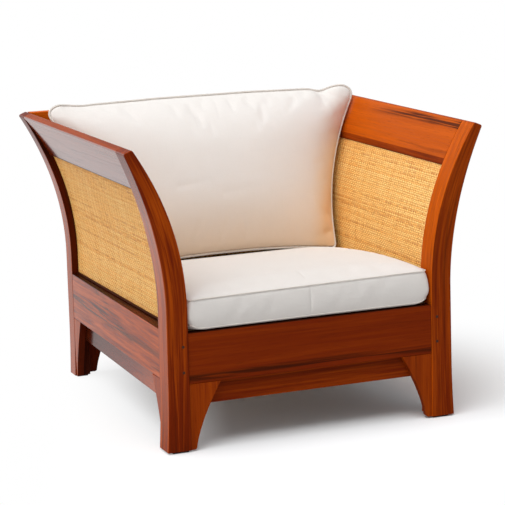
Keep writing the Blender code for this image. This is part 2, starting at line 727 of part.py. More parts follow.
def plan_outline(half_x, half_y, radius):
    """Return a rounded rectangle about the origin with points along its sides and corners."""
    points = []
    for quarter in range(4):
        turn = quarter * math.pi / 2
        sign_x = 1 if quarter in (0, 3) else -1
        sign_y = 1 if quarter in (0, 1) else -1
        centre = Vector((sign_x * (half_x - radius), sign_y * (half_y - radius)))
        for index in range(SEAT_CORNER_STEPS + 1):
            angle = turn + math.pi / 2 * index / SEAT_CORNER_STEPS
            points.append(centre + radius * Vector((math.cos(angle), math.sin(angle))))
    filled = []
    for index, point in enumerate(points):
        filled.append(point)
        after = points[(index + 1) % len(points)]
        if (index + 1) % (SEAT_CORNER_STEPS + 1) == 0:
            for step in range(1, SEAT_SIDE_STEPS):
                filled.append(point.lerp(after, step / SEAT_SIDE_STEPS))
    return filled


def drawn_in(point, half_x, half_y):
    """Return a plan point pulled inwards along the middle of the sides."""
    along_x, along_y = point.x / half_x, point.y / half_y
    pull_x = SEAT_DRAW * max(0.0, 1 - along_y ** 2) * along_x
    pull_y = SEAT_DRAW * max(0.0, 1 - along_x ** 2) * along_y
    return Vector((point.x - pull_x, point.y - pull_y))


def unpressed(along):
    """Return the share of the crown that the back cushion leaves, along -1 at the front to 1 at the rear."""
    return max(0.0, 1 - SEAT_REAR_PRESS * max(0.0, along) ** 2)


def make_seat_cushion(deck, linen):
    """Make the seat cushion: flat under, welted boxing and a crowned top."""
    half_x = INNER_HALF - SEAT_SIDE_ROOM
    front = (FRONT_Y + SEAT_FRONT_SETBACK - FRONT_RAIL_BACK) / math.cos(SEAT_SLOPE)
    rear = (SEAT_REAR_Y - FRONT_RAIL_BACK) / math.cos(SEAT_SLOPE)
    half_y, middle = (rear - front) / 2, (rear + front) / 2
    plan = [drawn_in(point, half_x, half_y) for point in plan_outline(half_x, half_y, SEAT_CORNER)]
    low = FIT_GAP
    seam_low, seam_high = low + SEAT_UNDER_ROUND, low + SEAT_BOXING
    boxing = seam_high - seam_low
    inset = SEAT_WELT + SEAT_BOXING_BULGE
    # Each ring is (inset from the plan, shrink towards the middle, height, share of the crown)
    rings = [(SEAT_UNDER_ROUND, 0.5, low, 0.0), (SEAT_UNDER_ROUND, 1.0, low, 0.0),
             (SEAT_WELT, 1.0, seam_low - SEAT_WELT, 0.0), (0.0, 1.0, seam_low, 0.0),
             (inset, 1.0, seam_low + SEAT_WELT, 0.0), (SEAT_WELT, 1.0, seam_low + boxing / 2, 0.0),
             (inset, 1.0, seam_high - SEAT_WELT, 0.0), (0.0, 1.0, seam_high, 0.0)]
    for share in (1.0, 0.93, 0.82, 0.66, 0.45, 0.22):
        rings.append((inset, share, seam_high + SEAT_WELT, 1 - share ** 2.2))

    bm = bmesh.new()
    loops = []
    for step_in, shrink, height, swell in rings:
        loop = []
        for point in plan:
            x = point.x * shrink * (1 - step_in / half_x)
            y = point.y * shrink * (1 - step_in / half_y)
            rise = SEAT_CROWN * swell * unpressed(y / half_y)
            loop.append(bm.verts.new((x, middle + y, height + rise)))
        loops.append(loop)
    count = len(plan)
    for lower, upper in zip(loops, loops[1:]):
        for index in range(count):
            after = (index + 1) % count
            bm.faces.new((lower[index], lower[after], upper[after], upper[index]))
    under = bm.verts.new((0.0, middle, low))
    crown = bm.verts.new((0.0, middle, seam_high + SEAT_WELT + SEAT_CROWN))
    for index in range(count):
        after = (index + 1) % count
        bm.faces.new((under, loops[0][after], loops[0][index]))
        bm.faces.new((crown, loops[-1][index], loops[-1][after]))
    cushion = add_object("seat_cushion", bm, linen)
    cushion.parent = deck
    return cushion


def back_plane_offset():
    """Return the distance from the back rest's face to the pillow's piped edge."""
    return REST_FACE + FIT_GAP + BACK_REAR_BULGE


def pillow_half_width(up):
    """Return the pillow's half width at a distance up its slope, following the arms."""
    z = REST_FOOT_TOP + back_plane_offset() * math.sin(BACK_RAKE) + up * math.cos(BACK_RAKE)
    return arm_inner(min(z, ARM_HEIGHT)) - BACK_SIDE_ROOM


def pillow_point(across, share, bulge):
    """Return a point of the pillow.

    across runs from -1 to 1 and share from 0 at the bottom to 1 at the top.
    """
    rise = 2 * share - 1
    fade = (1 - abs(across) ** BACK_EDGE_POWER) * (1 - abs(rise) ** BACK_EDGE_POWER)
    up = BACK_START + BACK_HEIGHT * share
    if rise > 0:
        up -= BACK_TOP_DRAW * rise ** 2 * (1 - across ** 2)
    else:
        up -= BACK_BOTTOM_DROOP * rise ** 2 * across ** 2
    half = pillow_half_width(up) - BACK_SIDE_DRAW * (1 - rise ** 2)
    if rise > 0:
        half -= BACK_EAR_PULL * rise ** 2
    depth = math.copysign(BACK_EDGE_HALF, bulge) + bulge * fade ** BACK_FULLNESS
    return (across * half, -back_plane_offset() + depth, up)


def make_back_cushion(rest, linen):
    """Make the pillow as a front and a rear sheet joined by a narrow piped edge."""
    bm = bmesh.new()
    sheets = []
    for bulge in (-BACK_FRONT_BULGE, BACK_REAR_BULGE - BACK_EDGE_HALF):
        sheet = []
        for row in range(BACK_STEPS + 1):
            points = [pillow_point(2 * column / BACK_STEPS - 1, row / BACK_STEPS, bulge)
                      for column in range(BACK_STEPS + 1)]
            sheet.append([bm.verts.new(point) for point in points])
        sheets.append(sheet)
        for row in range(BACK_STEPS):
            for column in range(BACK_STEPS):
                bm.faces.new((sheet[row][column], sheet[row][column + 1],
                              sheet[row + 1][column + 1], sheet[row + 1][column]))
    front, rear = (sheet[0] + [row[-1] for row in sheet[1:]] + sheet[-1][-2::-1]
                   + [row[0] for row in sheet[-2:0:-1]] for sheet in sheets)
    for index in range(len(front)):
        after = (index + 1) % len(front)
        bm.faces.new((front[index], front[after], rear[after], rear[index]))
    cushion = add_object("back_cushion", bm, linen)
    cushion.parent = rest
    return cushion


def world_points(item):
    """Return an object's vertices in world space."""
    return [item.matrix_world @ vertex.co for vertex in item.data.vertices]


def world_tree(item):
    """Return a search tree of an object's faces in world space."""
    faces = [tuple(face.vertices) for face in item.data.polygons]
    return BVHTree.FromPolygons(world_points(item), faces)


def least_drop(upper, lower):
    """Return the least vertical distance between a solid and the one under it."""
    drops = []
    down, up = Vector((0.0, 0.0, -1.0)), Vector((0.0, 0.0, 1.0))
    reach = Vector((0.0, 0.0, FRAME_DEPTH))
    lower_tree, upper_tree = world_tree(lower), world_tree(upper)
    for point in world_points(upper):
        hit = lower_tree.ray_cast(point + reach, down)[0]
        if hit is not None:
            drops.append(point.z - hit.z)
    for point in world_points(lower):
        hit = upper_tree.ray_cast(point - reach, up)[0]
        if hit is not None:
            drops.append(hit.z - point.z)
    return min(drops)


def seat_on(upper, lower):
    """Slide a cushion down its slope until it lies on the one under it."""
    for _ in range(SEATING_ROUNDS):
        bpy.context.view_layer.update()
        spare = least_drop(upper, lower) - 2 * FIT_GAP
        upper.location.z -= spare / math.cos(BACK_RAKE)
    bpy.context.view_layer.update()


def main():
    """Build the whole chair."""
    clear_scene()
    wood = make_material("red_brown_hardwood", (0.22, 0.065, 0.022), 0.32)
    plain = make_material("plain_slat_wood", (0.48, 0.30, 0.16), 0.55)
    cane = make_material("woven_cane", (0.72, 0.44, 0.18), 0.60)
    linen = make_material("off_white_linen", (0.82, 0.78, 0.72), 0.90)
    dark = make_material("dark_peg_wood", (0.05, 0.02, 0.012), 0.45)
    black = make_material("black_glide", (0.02, 0.02, 0.02), 0.60)

    for side, label in ((-1, "left"), (1, "right")):
        make_posts(side, label, wood)
        make_glide(label + "_front_glide", side, True, black)
        make_glide(label + "_rear_glide", side, False, black)
        make_brackets(side, label, wood)
        make_pegs(side, label, dark)
        make_arm(side, label, wood, cane)
    make_seat_rails(wood)
    make_aprons(wood)
    make_back(wood, cane)
    deck = make_deck(plain)
    rest = make_rest(plain)
    seat = make_seat_cushion(deck, linen)
    back = make_back_cushion(rest, linen)
    seat_on(back, seat)


main()
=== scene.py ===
"""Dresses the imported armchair: eased hardwood joinery, woven cane, linen cushions and a studio.

Everything is in metres in the frame of the solids: origin on the floor under the middle of the
frame, front towards -Y, +Z up.
"""

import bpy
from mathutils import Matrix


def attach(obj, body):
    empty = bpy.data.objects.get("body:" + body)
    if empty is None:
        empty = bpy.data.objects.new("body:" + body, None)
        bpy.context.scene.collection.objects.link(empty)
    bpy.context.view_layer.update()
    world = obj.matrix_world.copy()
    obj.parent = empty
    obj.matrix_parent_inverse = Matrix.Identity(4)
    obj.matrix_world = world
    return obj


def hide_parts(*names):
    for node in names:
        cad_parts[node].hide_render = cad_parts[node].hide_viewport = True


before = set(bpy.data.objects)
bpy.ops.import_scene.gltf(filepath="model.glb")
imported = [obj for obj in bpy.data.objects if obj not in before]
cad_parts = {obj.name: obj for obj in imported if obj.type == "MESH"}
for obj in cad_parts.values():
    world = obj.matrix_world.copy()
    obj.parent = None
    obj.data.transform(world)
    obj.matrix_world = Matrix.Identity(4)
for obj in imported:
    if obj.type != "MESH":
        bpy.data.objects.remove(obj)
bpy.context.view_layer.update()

import logging
import math
from contextlib import contextmanager
from dataclasses import dataclass, field
from enum import Enum
from typing import Callable, Iterable, Iterator, Sequence

import bmesh
import bpy
import numpy as np
from mathutils import Matrix, Vector

log = logging.getLogger("armchair")

Array = np.ndarray
Piece = bpy.types.Object
Material = bpy.types.Material
Socket = bpy.types.NodeSocket
NodeTree = bpy.types.NodeTree
Pair = tuple[float, float]
Triple = tuple[float, float, float]
Rule = Callable[[Array], Array]
EdgeTest = Callable[[Vector, Vector], bool]

SHARP_ANGLE = math.radians(34.0)
SMOOTH_ANGLE = math.radians(40.0)
LONG_EDGE = 0.01
HAIR = 0.001
NO_HEART = 1.0


@dataclass(frozen=True)
class BoardLook:
    """How one board of the frame differs from the next.

    Pairs run along the grain, from the left, the front or the floor. A tone of 1 is pale, 0 is deep
    and -1 is nearly black. The values for single faces are painted light and shade, added to the
    tone by which way a face looks.
    """

    tone: Pair = (0.30, 0.30)
    streaks: float = 0.45
    gloss: float = 0.02
    heart: Pair = (0.0, 0.0)
    outer_gloss: Pair = (0.52, 0.52)
    # outer, front, inner and top: painted light and shade on the faces that look that way
    outer: Pair = (0.0, 0.0)
    front: float = 0.0
    inner: float = 0.0
    top: float = 0.0


# A name without its side stands for both twins.
BOARD_LOOKS = {
    # front_seat_rail top: painted shade under the cushion's front edge
    "front_seat_rail": BoardLook((0.06, 0.05), 0.16, heart=(1.0, 0.9), top=-0.9),
    # The side rails' top: painted shade on the ledge under the flared arms
    "left_seat_rail": BoardLook((0.38, 0.20), 0.90, heart=(0.7, 0.9), outer_gloss=(0.36, 0.57), top=-1.2),
    "right_seat_rail": BoardLook((0.38, 0.20), 0.90, heart=(0.6, 0.9), outer_gloss=(0.36, 0.57), top=-1.2),
    "front_apron": BoardLook((0.14, 0.14), 0.40, heart=(0.5, 0.4)),
    # rear_apron front: painted shade on the face seen from inside the frame
    "rear_apron": BoardLook((0.14, 0.14), 0.40, front=-1.2),
    # The side aprons darken to the rear: painted shade beside the rear brackets
    "apron": BoardLook((0.62, -0.95), 0.40),
    # The front posts: outer, front and inner are painted light and shade on those faces
    "left_front_post": BoardLook((0.03, 0.56), 0.80, outer_gloss=(0.20, 0.95), outer=(0.28, -0.25),
                                 front=-0.16, inner=0.25),
    "right_front_post": BoardLook((0.32, 0.54), 0.50, outer_gloss=(0.22, 0.85), outer=(0.20, -0.30),
                                  front=-0.22, inner=0.25),
    # rear_post front: painted shade in the recess beside the cane
    "rear_post": BoardLook((0.30, 0.30), 0.40, outer_gloss=(0.66, 0.60), front=-1.05),
    # The arm rails: outer and top are painted shade on those faces
    "left_arm_rail": BoardLook((0.60, 0.60), 0.28, outer_gloss=(1.0, 1.0), outer=(-0.6, -0.6), top=-0.35),
    "right_arm_rail": BoardLook((0.68, 0.76), 0.30, heart=(2.4, -1.1), outer_gloss=(1.0, 1.0),
                                outer=(-0.6, -0.6), top=-0.35),
    "back_top_rail": BoardLook((0.90, 0.90), 0.30),
    "left_front_leg_bracket": BoardLook((0.20, 0.20), 0.40),
    "right_front_leg_bracket": BoardLook((0.17, 0.17), 0.40),
    "left_front_side_bracket": BoardLook((0.24, 0.24), 0.30, outer_gloss=(0.40, 0.40)),
    # rear_side_bracket front: painted shade on its forward edge
    "rear_side_bracket": BoardLook((0.25, 0.30), 0.30, front=-0.8),
    # rear_leg_bracket: a darker tone that paints the shade it stands in
    "rear_leg_bracket": BoardLook((-0.15, -0.15), 0.30),
    "cane_sill": BoardLook((0.30, 0.30), 0.30, 0.0, outer_gloss=(0.0, 0.0)),
}


class Side(Enum):
    """The two mirrored sides of the chair, valued by the sign of X."""

    LEFT = -1
    RIGHT = 1

    @property
    def label(self) -> str:
        """The side's word in the names of pieces."""
        return self.name.lower()


class Grain(Enum):
    """The direction that the grain runs in a board, valued by its axis."""

    ALONG_X = 0
    ALONG_Y = 1
    ALONG_Z = 2


@dataclass(frozen=True)
class ChairSizes:
    """The sizes of the solids that the pieces of the scene are fitted to."""

    gap: float = 0.0003
    front_y: float = -0.466
    rear_y: float = 0.466
    inner_half: float = 0.3447
    arm_height: float = 0.789
    arm_flare: float = 0.1313
    bend_z: float = 0.360
    tip_thickness: float = 0.0235
    tip_drop: float = 0.010
    tip_radius: float = 0.005
    front_post_depth: float = 0.066
    front_post_thickness: float = 0.0553
    rear_post_depth: float = 0.050
    rear_post_thickness: float = 0.0435
    rear_post_inset: float = 0.0135
    arm_inner_power: float = 2.15
    front_outer_power: float = 1.9
    rear_inner_power: float = 2.1
    rear_outer_power: float = 2.05
    foot_z: float = 0.0043
    foot_sweep_z: float = 0.160
    front_foot_flare: float = 0.005
    rear_foot_flare: float = 0.003
    leg_flare: float = 0.0045
    leg_flare_top: float = 0.60
    rail_top: float = 0.310
    rail_bottom: float = 0.178
    rail_thickness: float = 0.032
    rail_setback: float = 0.003
    side_rail_front_setback: float = 0.007
    side_rail_rear_setback: float = 0.0005
    apron_bottom: float = 0.117
    apron_thickness: float = 0.022
    bracket_setback: float = 0.004
    side_bracket_setback: float = 0.0004
    front_side_reveal: float = 0.0015
    bracket_thickness: float = 0.020
    bracket_power: float = 1.45
    arm_rail_bottom: float = 0.674
    arm_rail_foot: float = 0.018
    arm_rail_fall: float = 0.013
    arm_chamfer_height: float = 0.0145
    arm_chamfer_depth: float = 0.004
    cane_inset: float = 0.009
    sill_height: float = 0.0045
    sill_width: float = 0.014
    back_rail_bottom: float = 0.699
    back_rail_thickness: float = 0.024
    rest_foot_top: float = 0.300
    back_rake: float = math.radians(20.0)
    front_bracket: Pair = (0.086, 0.0155)
    rear_bracket: Pair = (0.098, 0.028)
    front_side_bracket: Pair = (0.088, 0.026)
    rear_side_bracket: Pair = (0.060, 0.010)
    peg_x: float = 0.3597
    peg_heights: Pair = (0.2105, 0.2775)
    peg_radius: float = 0.004
    peg_depth: float = 0.034

    @property
    def front_post_back(self) -> float:
        """The plane behind the front posts."""
        return self.front_y + self.front_post_depth

    @property
    def rear_post_front(self) -> float:
        """The plane in front of the rear posts."""
        return self.rear_y - self.rear_post_depth

    @property
    def rear_post_mid(self) -> float:
        """The middle plane of the rear posts, where the back cane stands."""
        return self.rear_y - self.rear_post_depth / 2

    @property
    def span(self) -> Pair:
        """The two ends of the boards between the posts of one side."""
        return self.front_post_back + self.gap, self.rear_post_front - self.gap

    @property
    def front_out(self) -> float:
        """The outer face of the straight part of the front posts."""
        return self.inner_half + self.front_post_thickness

    @property
    def rear_in(self) -> float:
        """The inner face of the straight part of the rear posts."""
        return self.inner_half - self.rear_post_inset

    @property
    def rear_out(self) -> float:
        """The outer face of the straight part of the rear posts."""
        return self.rear_in + self.rear_post_thickness

    @property
    def tip_in(self) -> float:
        """The inner corner of the horn tips."""
        return self.inner_half + self.arm_flare

    @property
    def tip_out(self) -> float:
        """The outer corner of the horn tips."""
        return self.tip_in + self.tip_thickness

    @property
    def tip_out_z(self) -> float:
        """The height of the outer corner of the horn tips."""
        return self.arm_height - self.tip_drop

    @property
    def sill_top(self) -> float:
        """The height of the beads that the cane stands on."""
        return self.rail_top + self.gap + self.sill_height

    def sweep(self, z: Array, base: float, tip: float, tip_z: float, power: float) -> Array:
        """Work out a face that sweeps outwards above the bend.

        Args:
            z: Heights.
            base: Distance from the middle plane below the bend.
            tip: Distance at the tip.
            tip_z: Height of the tip.
            power: How late the face sweeps out.

        Returns:
            The distances from the middle plane at those heights.
        """
        share = np.clip((np.asarray(z) - self.bend_z) / (tip_z - self.bend_z), 0.0, None)
        return base + (tip - base) * share ** power

    def foot_share(self, z: Array) -> Array:
        """Return how far a post has spread, 1 at the floor and 0 above the spread."""
        return np.clip(1 - np.asarray(z) / self.foot_sweep_z, 0.0, None) ** 2

    def arm_inner(self, z: Array) -> Array:
        """Return the inner face of the front posts and arm rails."""
        return self.sweep(z, self.inner_half, self.tip_in, self.arm_height, self.arm_inner_power)

    def front_outer(self, z: Array) -> Array:
        """Return the outer face of the front posts."""
        flare = self.front_foot_flare * self.foot_share(z) + self.leg_flare * unit(1 - z / self.leg_flare_top)
        return self.sweep(z, self.front_out, self.tip_out, self.tip_out_z, self.front_outer_power) + flare

    def rear_inner(self, z: Array) -> Array:
        """Return the inner face of the rear posts."""
        return self.sweep(z, self.rear_in, self.tip_in, self.arm_height, self.rear_inner_power)

    def rear_outer(self, z: Array) -> Array:
        """Return the outer face of the rear posts."""
        flare = self.rear_foot_flare * self.foot_share(z)
        return self.sweep(z, self.rear_out, self.tip_out, self.tip_out_z, self.rear_outer_power) + flare

    def arm_outer(self, z: Array) -> Array:
        """Return the outer face of the arm rails."""
        share = (z - self.arm_rail_bottom) / (self.tip_out_z - self.arm_rail_bottom)
        full = self.tip_out - self.arm_inner(self.tip_out_z)
        return self.arm_inner(z) + between((self.arm_rail_foot, full), share)


# Sums on arrays

def unit(values: Array) -> Array:
    """Return values held between 0 and 1."""
    return np.clip(values, 0.0, 1.0)


def between(pair: Sequence[float], share: Array) -> Array:
    """Return values that run from the first of a pair to the second."""
    return pair[0] + (pair[1] - pair[0]) * share


def tip_back(places: Array, angle: float, y: float = 0.0, z: float = 0.0) -> Array:
    """Turn places to the back about the X axis and move them.

    Args:
        places: Rows of x, y and z.
        angle: How far they turn, in radians.
        y: How far they move to the back.
        z: How far they move up.

    Returns:
        The new rows.
    """
    cos, sin = math.cos(angle), math.sin(angle)
    turned = places.copy()
    turned[:, 1] = y + places[:, 1] * cos + places[:, 2] * sin
    turned[:, 2] = z - places[:, 1] * sin + places[:, 2] * cos
    return turned


def round_edge(count: int) -> tuple[Array, Array]:
    """Go round the edge of a square that reaches from -1 to 1, from its lower left corner.

    Args:
        count: How many places to give.

    Returns:
        The places across the square and up it.
    """
    turns = np.linspace(0.0, 4.0, count, endpoint=False)
    edge, share = turns.astype(int), (turns % 1) * 2 - 1
    ones = np.ones_like(share)
    return np.choose(edge, (share, ones, -share, -ones)), np.choose(edge, (-ones, share, ones, -share))


def resample(path: Array, spacing: float) -> Array:
    """Space the points of a closed path evenly.

    Args:
        path: Rows of x, y and z.
        spacing: Distance between the new points.

    Returns:
        The new rows.
    """
    closed = np.vstack((path, path[:1]))
    length = np.concatenate(([0.0], np.cumsum(np.linalg.norm(np.diff(closed, axis=0), axis=1))))
    places = np.linspace(0.0, length[-1], int(length[-1] / spacing), endpoint=False)
    return np.stack([np.interp(places, length, closed[:, axis]) for axis in range(3)], axis=1)


def soften(path: Array, rounds: int) -> Array:
    """Ease the corners of a closed path.

    Args:
        path: Rows of x, y and z.
        rounds: How often each point is drawn towards its neighbours.

    Returns:
        The new rows.
    """
    for _ in range(rounds):
        path = 0.5 * path + 0.25 * (np.roll(path, 1, axis=0) + np.roll(path, -1, axis=0))
    return path


# Modelling by operators

def clear_selection() -> None:
    """Leave edit mode and deselect everything."""
    if bpy.context.object is not None and bpy.context.object.mode != "OBJECT":
        bpy.ops.object.mode_set(mode="OBJECT")
    bpy.ops.object.select_all(action="DESELECT")


def make_active(piece: Piece) -> None:
    """Select one piece alone and make it active.

    Args:
        piece: The piece.
    """
    clear_selection()
    piece.select_set(True)
    bpy.context.view_layer.objects.active = piece


@contextmanager
def editing(piece: Piece) -> Iterator[None]:
    """Open one piece alone in edit mode and close it again.

    Args:
        piece: The piece.
    """
    make_active(piece)
    bpy.ops.object.mode_set(mode="EDIT")
    yield
    bpy.ops.object.mode_set(mode="OBJECT")


def apply_modifier(piece: Piece, kind: str, **settings: object) -> None:
    """Give a piece a modifier and keep its result.

    Args:
        piece: The piece.
        kind: Type of the modifier.
        settings: Properties to set on it.
    """
    make_active(piece)
    modifier = piece.modifiers.new(kind, kind)
    for key, value in settings.items():
        setattr(modifier, key, value)
    bpy.ops.object.modifier_apply(modifier=modifier.name)


def add_block(name: str, low: Sequence[float], high: Sequence[float]) -> Piece:
    """Add a block between two corners.

    Args:
        name: Name of the new piece.
        low: Lowest corner.
        high: Highest corner.

    Returns:
        The new object, at the origin with its place in its mesh.
    """
    clear_selection()
    bpy.ops.mesh.primitive_cube_add(size=1.0, location=[(a + b) / 2 for a, b in zip(low, high)])
    piece = bpy.context.object
    piece.name = piece.data.name = name
    piece.scale = [b - a for a, b in zip(low, high)]
    bpy.ops.object.transform_apply(location=True, rotation=True, scale=True)
    return piece


def slice_block(piece: Piece, axis: int, places: Iterable[float]) -> None:
    """Cut a piece into slices across one axis, keeping it whole.

    Args:
        piece: The piece.
        axis: 0, 1 or 2.
        places: Where the cuts are, along the axis.
    """
    normal = [float(index == axis) for index in range(3)]
    with editing(piece):
        for place in places:
            bpy.ops.mesh.select_all(action="SELECT")
            bpy.ops.mesh.bisect(plane_co=[place * part for part in normal], plane_no=normal)


def get_points(piece: Piece) -> Array:
    """Read a piece's vertices.

    Args:
        piece: The piece.

    Returns:
        Rows of x, y and z.
    """
    flat = np.empty(len(piece.data.vertices) * 3)
    piece.data.vertices.foreach_get("co", flat)
    return flat.reshape(-1, 3)


def set_points(piece: Piece, points: Array) -> None:
    """Move a piece's vertices to the given rows."""
    piece.data.vertices.foreach_set("co", np.ascontiguousarray(points).ravel())
    piece.data.update()


def mend_normals(piece: Piece) -> None:
    """Merge a piece's doubled points and turn its faces outwards.

    Args:
        piece: The piece.
    """
    with editing(piece):
        bpy.ops.mesh.select_all(action="SELECT")
        bpy.ops.mesh.remove_doubles(threshold=0.00001)
        bpy.ops.mesh.normals_make_consistent(inside=False)


def bevel_edges(piece: Piece, width: float, segments: int, wanted: EdgeTest | None = None) -> None:
    """Round a piece's sharp edges.

    Args:
        piece: The piece.
        width: Width of the rounding.
        segments: Steps round it.
        wanted: Tells from an edge's two ends whether it is rounded; all sharp edges without it.
    """
    with editing(piece):
        bpy.ops.mesh.select_mode(type="EDGE")
        bpy.ops.mesh.select_all(action="DESELECT")
        bm = bmesh.from_edit_mesh(piece.data)
        for edge in bm.edges:
            is_sharp = edge.is_manifold and edge.calc_face_angle(0.0) > SHARP_ANGLE
            edge.select_set(is_sharp and (wanted is None or wanted(edge.verts[0].co, edge.verts[1].co)))
        bmesh.update_edit_mesh(piece.data)
        bpy.ops.mesh.bevel(offset=width, segments=segments, profile=0.5, affect="EDGES", clamp_overlap=True)


def smooth(piece: Piece) -> None:
    """Shade a piece smooth, with its sharp edges left crisp."""
    make_active(piece)
    bpy.ops.object.shade_smooth_by_angle(angle=SMOOTH_ANGLE)


def flatten(piece: Piece) -> None:
    """Shade a board's flat faces flat and only its roundings smooth."""
    smooth(piece)
    apply_modifier(piece, "WEIGHTED_NORMAL", keep_sharp=True)


def store(piece: Piece, name: str, values: Array) -> None:
    """Store a number or a vector for each vertex, for a material to read.

    Args:
        piece: The piece.
        name: Name of the attribute.
        values: One number or one row for each vertex.
    """
    kind, key = ("FLOAT_VECTOR", "vector") if values.ndim == 2 else ("FLOAT", "value")
    layer = piece.data.attributes.new(name, kind, "POINT")
    layer.data.foreach_set(key, np.ascontiguousarray(values, dtype=np.float32).ravel())


def store_grain(piece: Piece, places: Array, grain: Grain, across: int, heart: float, seed: int) -> None:
    """Store where a board's places lie in a log of its own.

    Args:
        piece: The board.
        places: Its places as if it were straight.
        grain: The direction of its grain.
        across: The axis that the figure is read across.
        heart: Where the dark heart line lies on that axis.
        seed: The board's number, which picks its log.
    """
    through = 3 - grain.value - across
    columns = (places[:, across] - heart, places[:, through] + 0.37 * seed,
               places[:, grain.value] + 1.9 * seed)
    store(piece, "grain", np.stack(columns, axis=1))


def store_look(piece: Piece, look: BoardLook, along: Array, shade: Array | float = 0.0) -> None:
    """Store a board's look for its material to read.

    Args:
        piece: The board.
        look: Its look.
        along: Each vertex's place along the grain.
        shade: A further change of tone at each vertex, painted shade on the arm rails.
    """
    share = (along - along.min()) / (along.max() - along.min())
    flat = np.empty(3 * len(share))
    piece.data.vertices.foreach_get("normal", flat)
    normals = flat.reshape(-1, 3)
    outward = normals[:, 0] * np.sign(get_points(piece)[:, 0].mean())

    def facing(part: Array) -> Array:
        """Return 1 on the faces that a direction belongs to and 0 beyond their roundings."""
        return unit((part - 0.55) / 0.25)

    # Painted light and shade: the tone is shifted on the faces that look to the front, up, inwards and
    # outwards.
    tone = between(look.tone, share) + look.front * facing(-normals[:, 1]) + look.top * facing(normals[:, 2])
    tone = tone + look.inner * facing(-outward) + between(look.outer, share) * facing(outward) + shade
    polish = (between(look.outer_gloss, share) - look.gloss) * facing(outward) * unit(1 + shade)
    store(piece, "board", np.stack((tone, np.full_like(share, look.streaks), look.gloss + polish), axis=1))
    store(piece, "heart", between(look.heart, share))


def dress(piece: Piece, material: Material, slot: str, body: str, *nodes: str) -> None:
    """Give a piece its material, its body and the nodes that it stands for.

    Args:
        piece: The finished piece.
        material: Its only material.
        slot: The record's material slot; not used.
        body: The body that it rides on.
        nodes: The nodes that it replaces.
    """
    piece.data.materials.clear()
    piece.data.materials.append(material)
    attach(piece, body)
    if nodes:
        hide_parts(*nodes)
    log.info("%s: %d faces on %s", piece.name, len(piece.data.polygons), body)


# Shader nodes

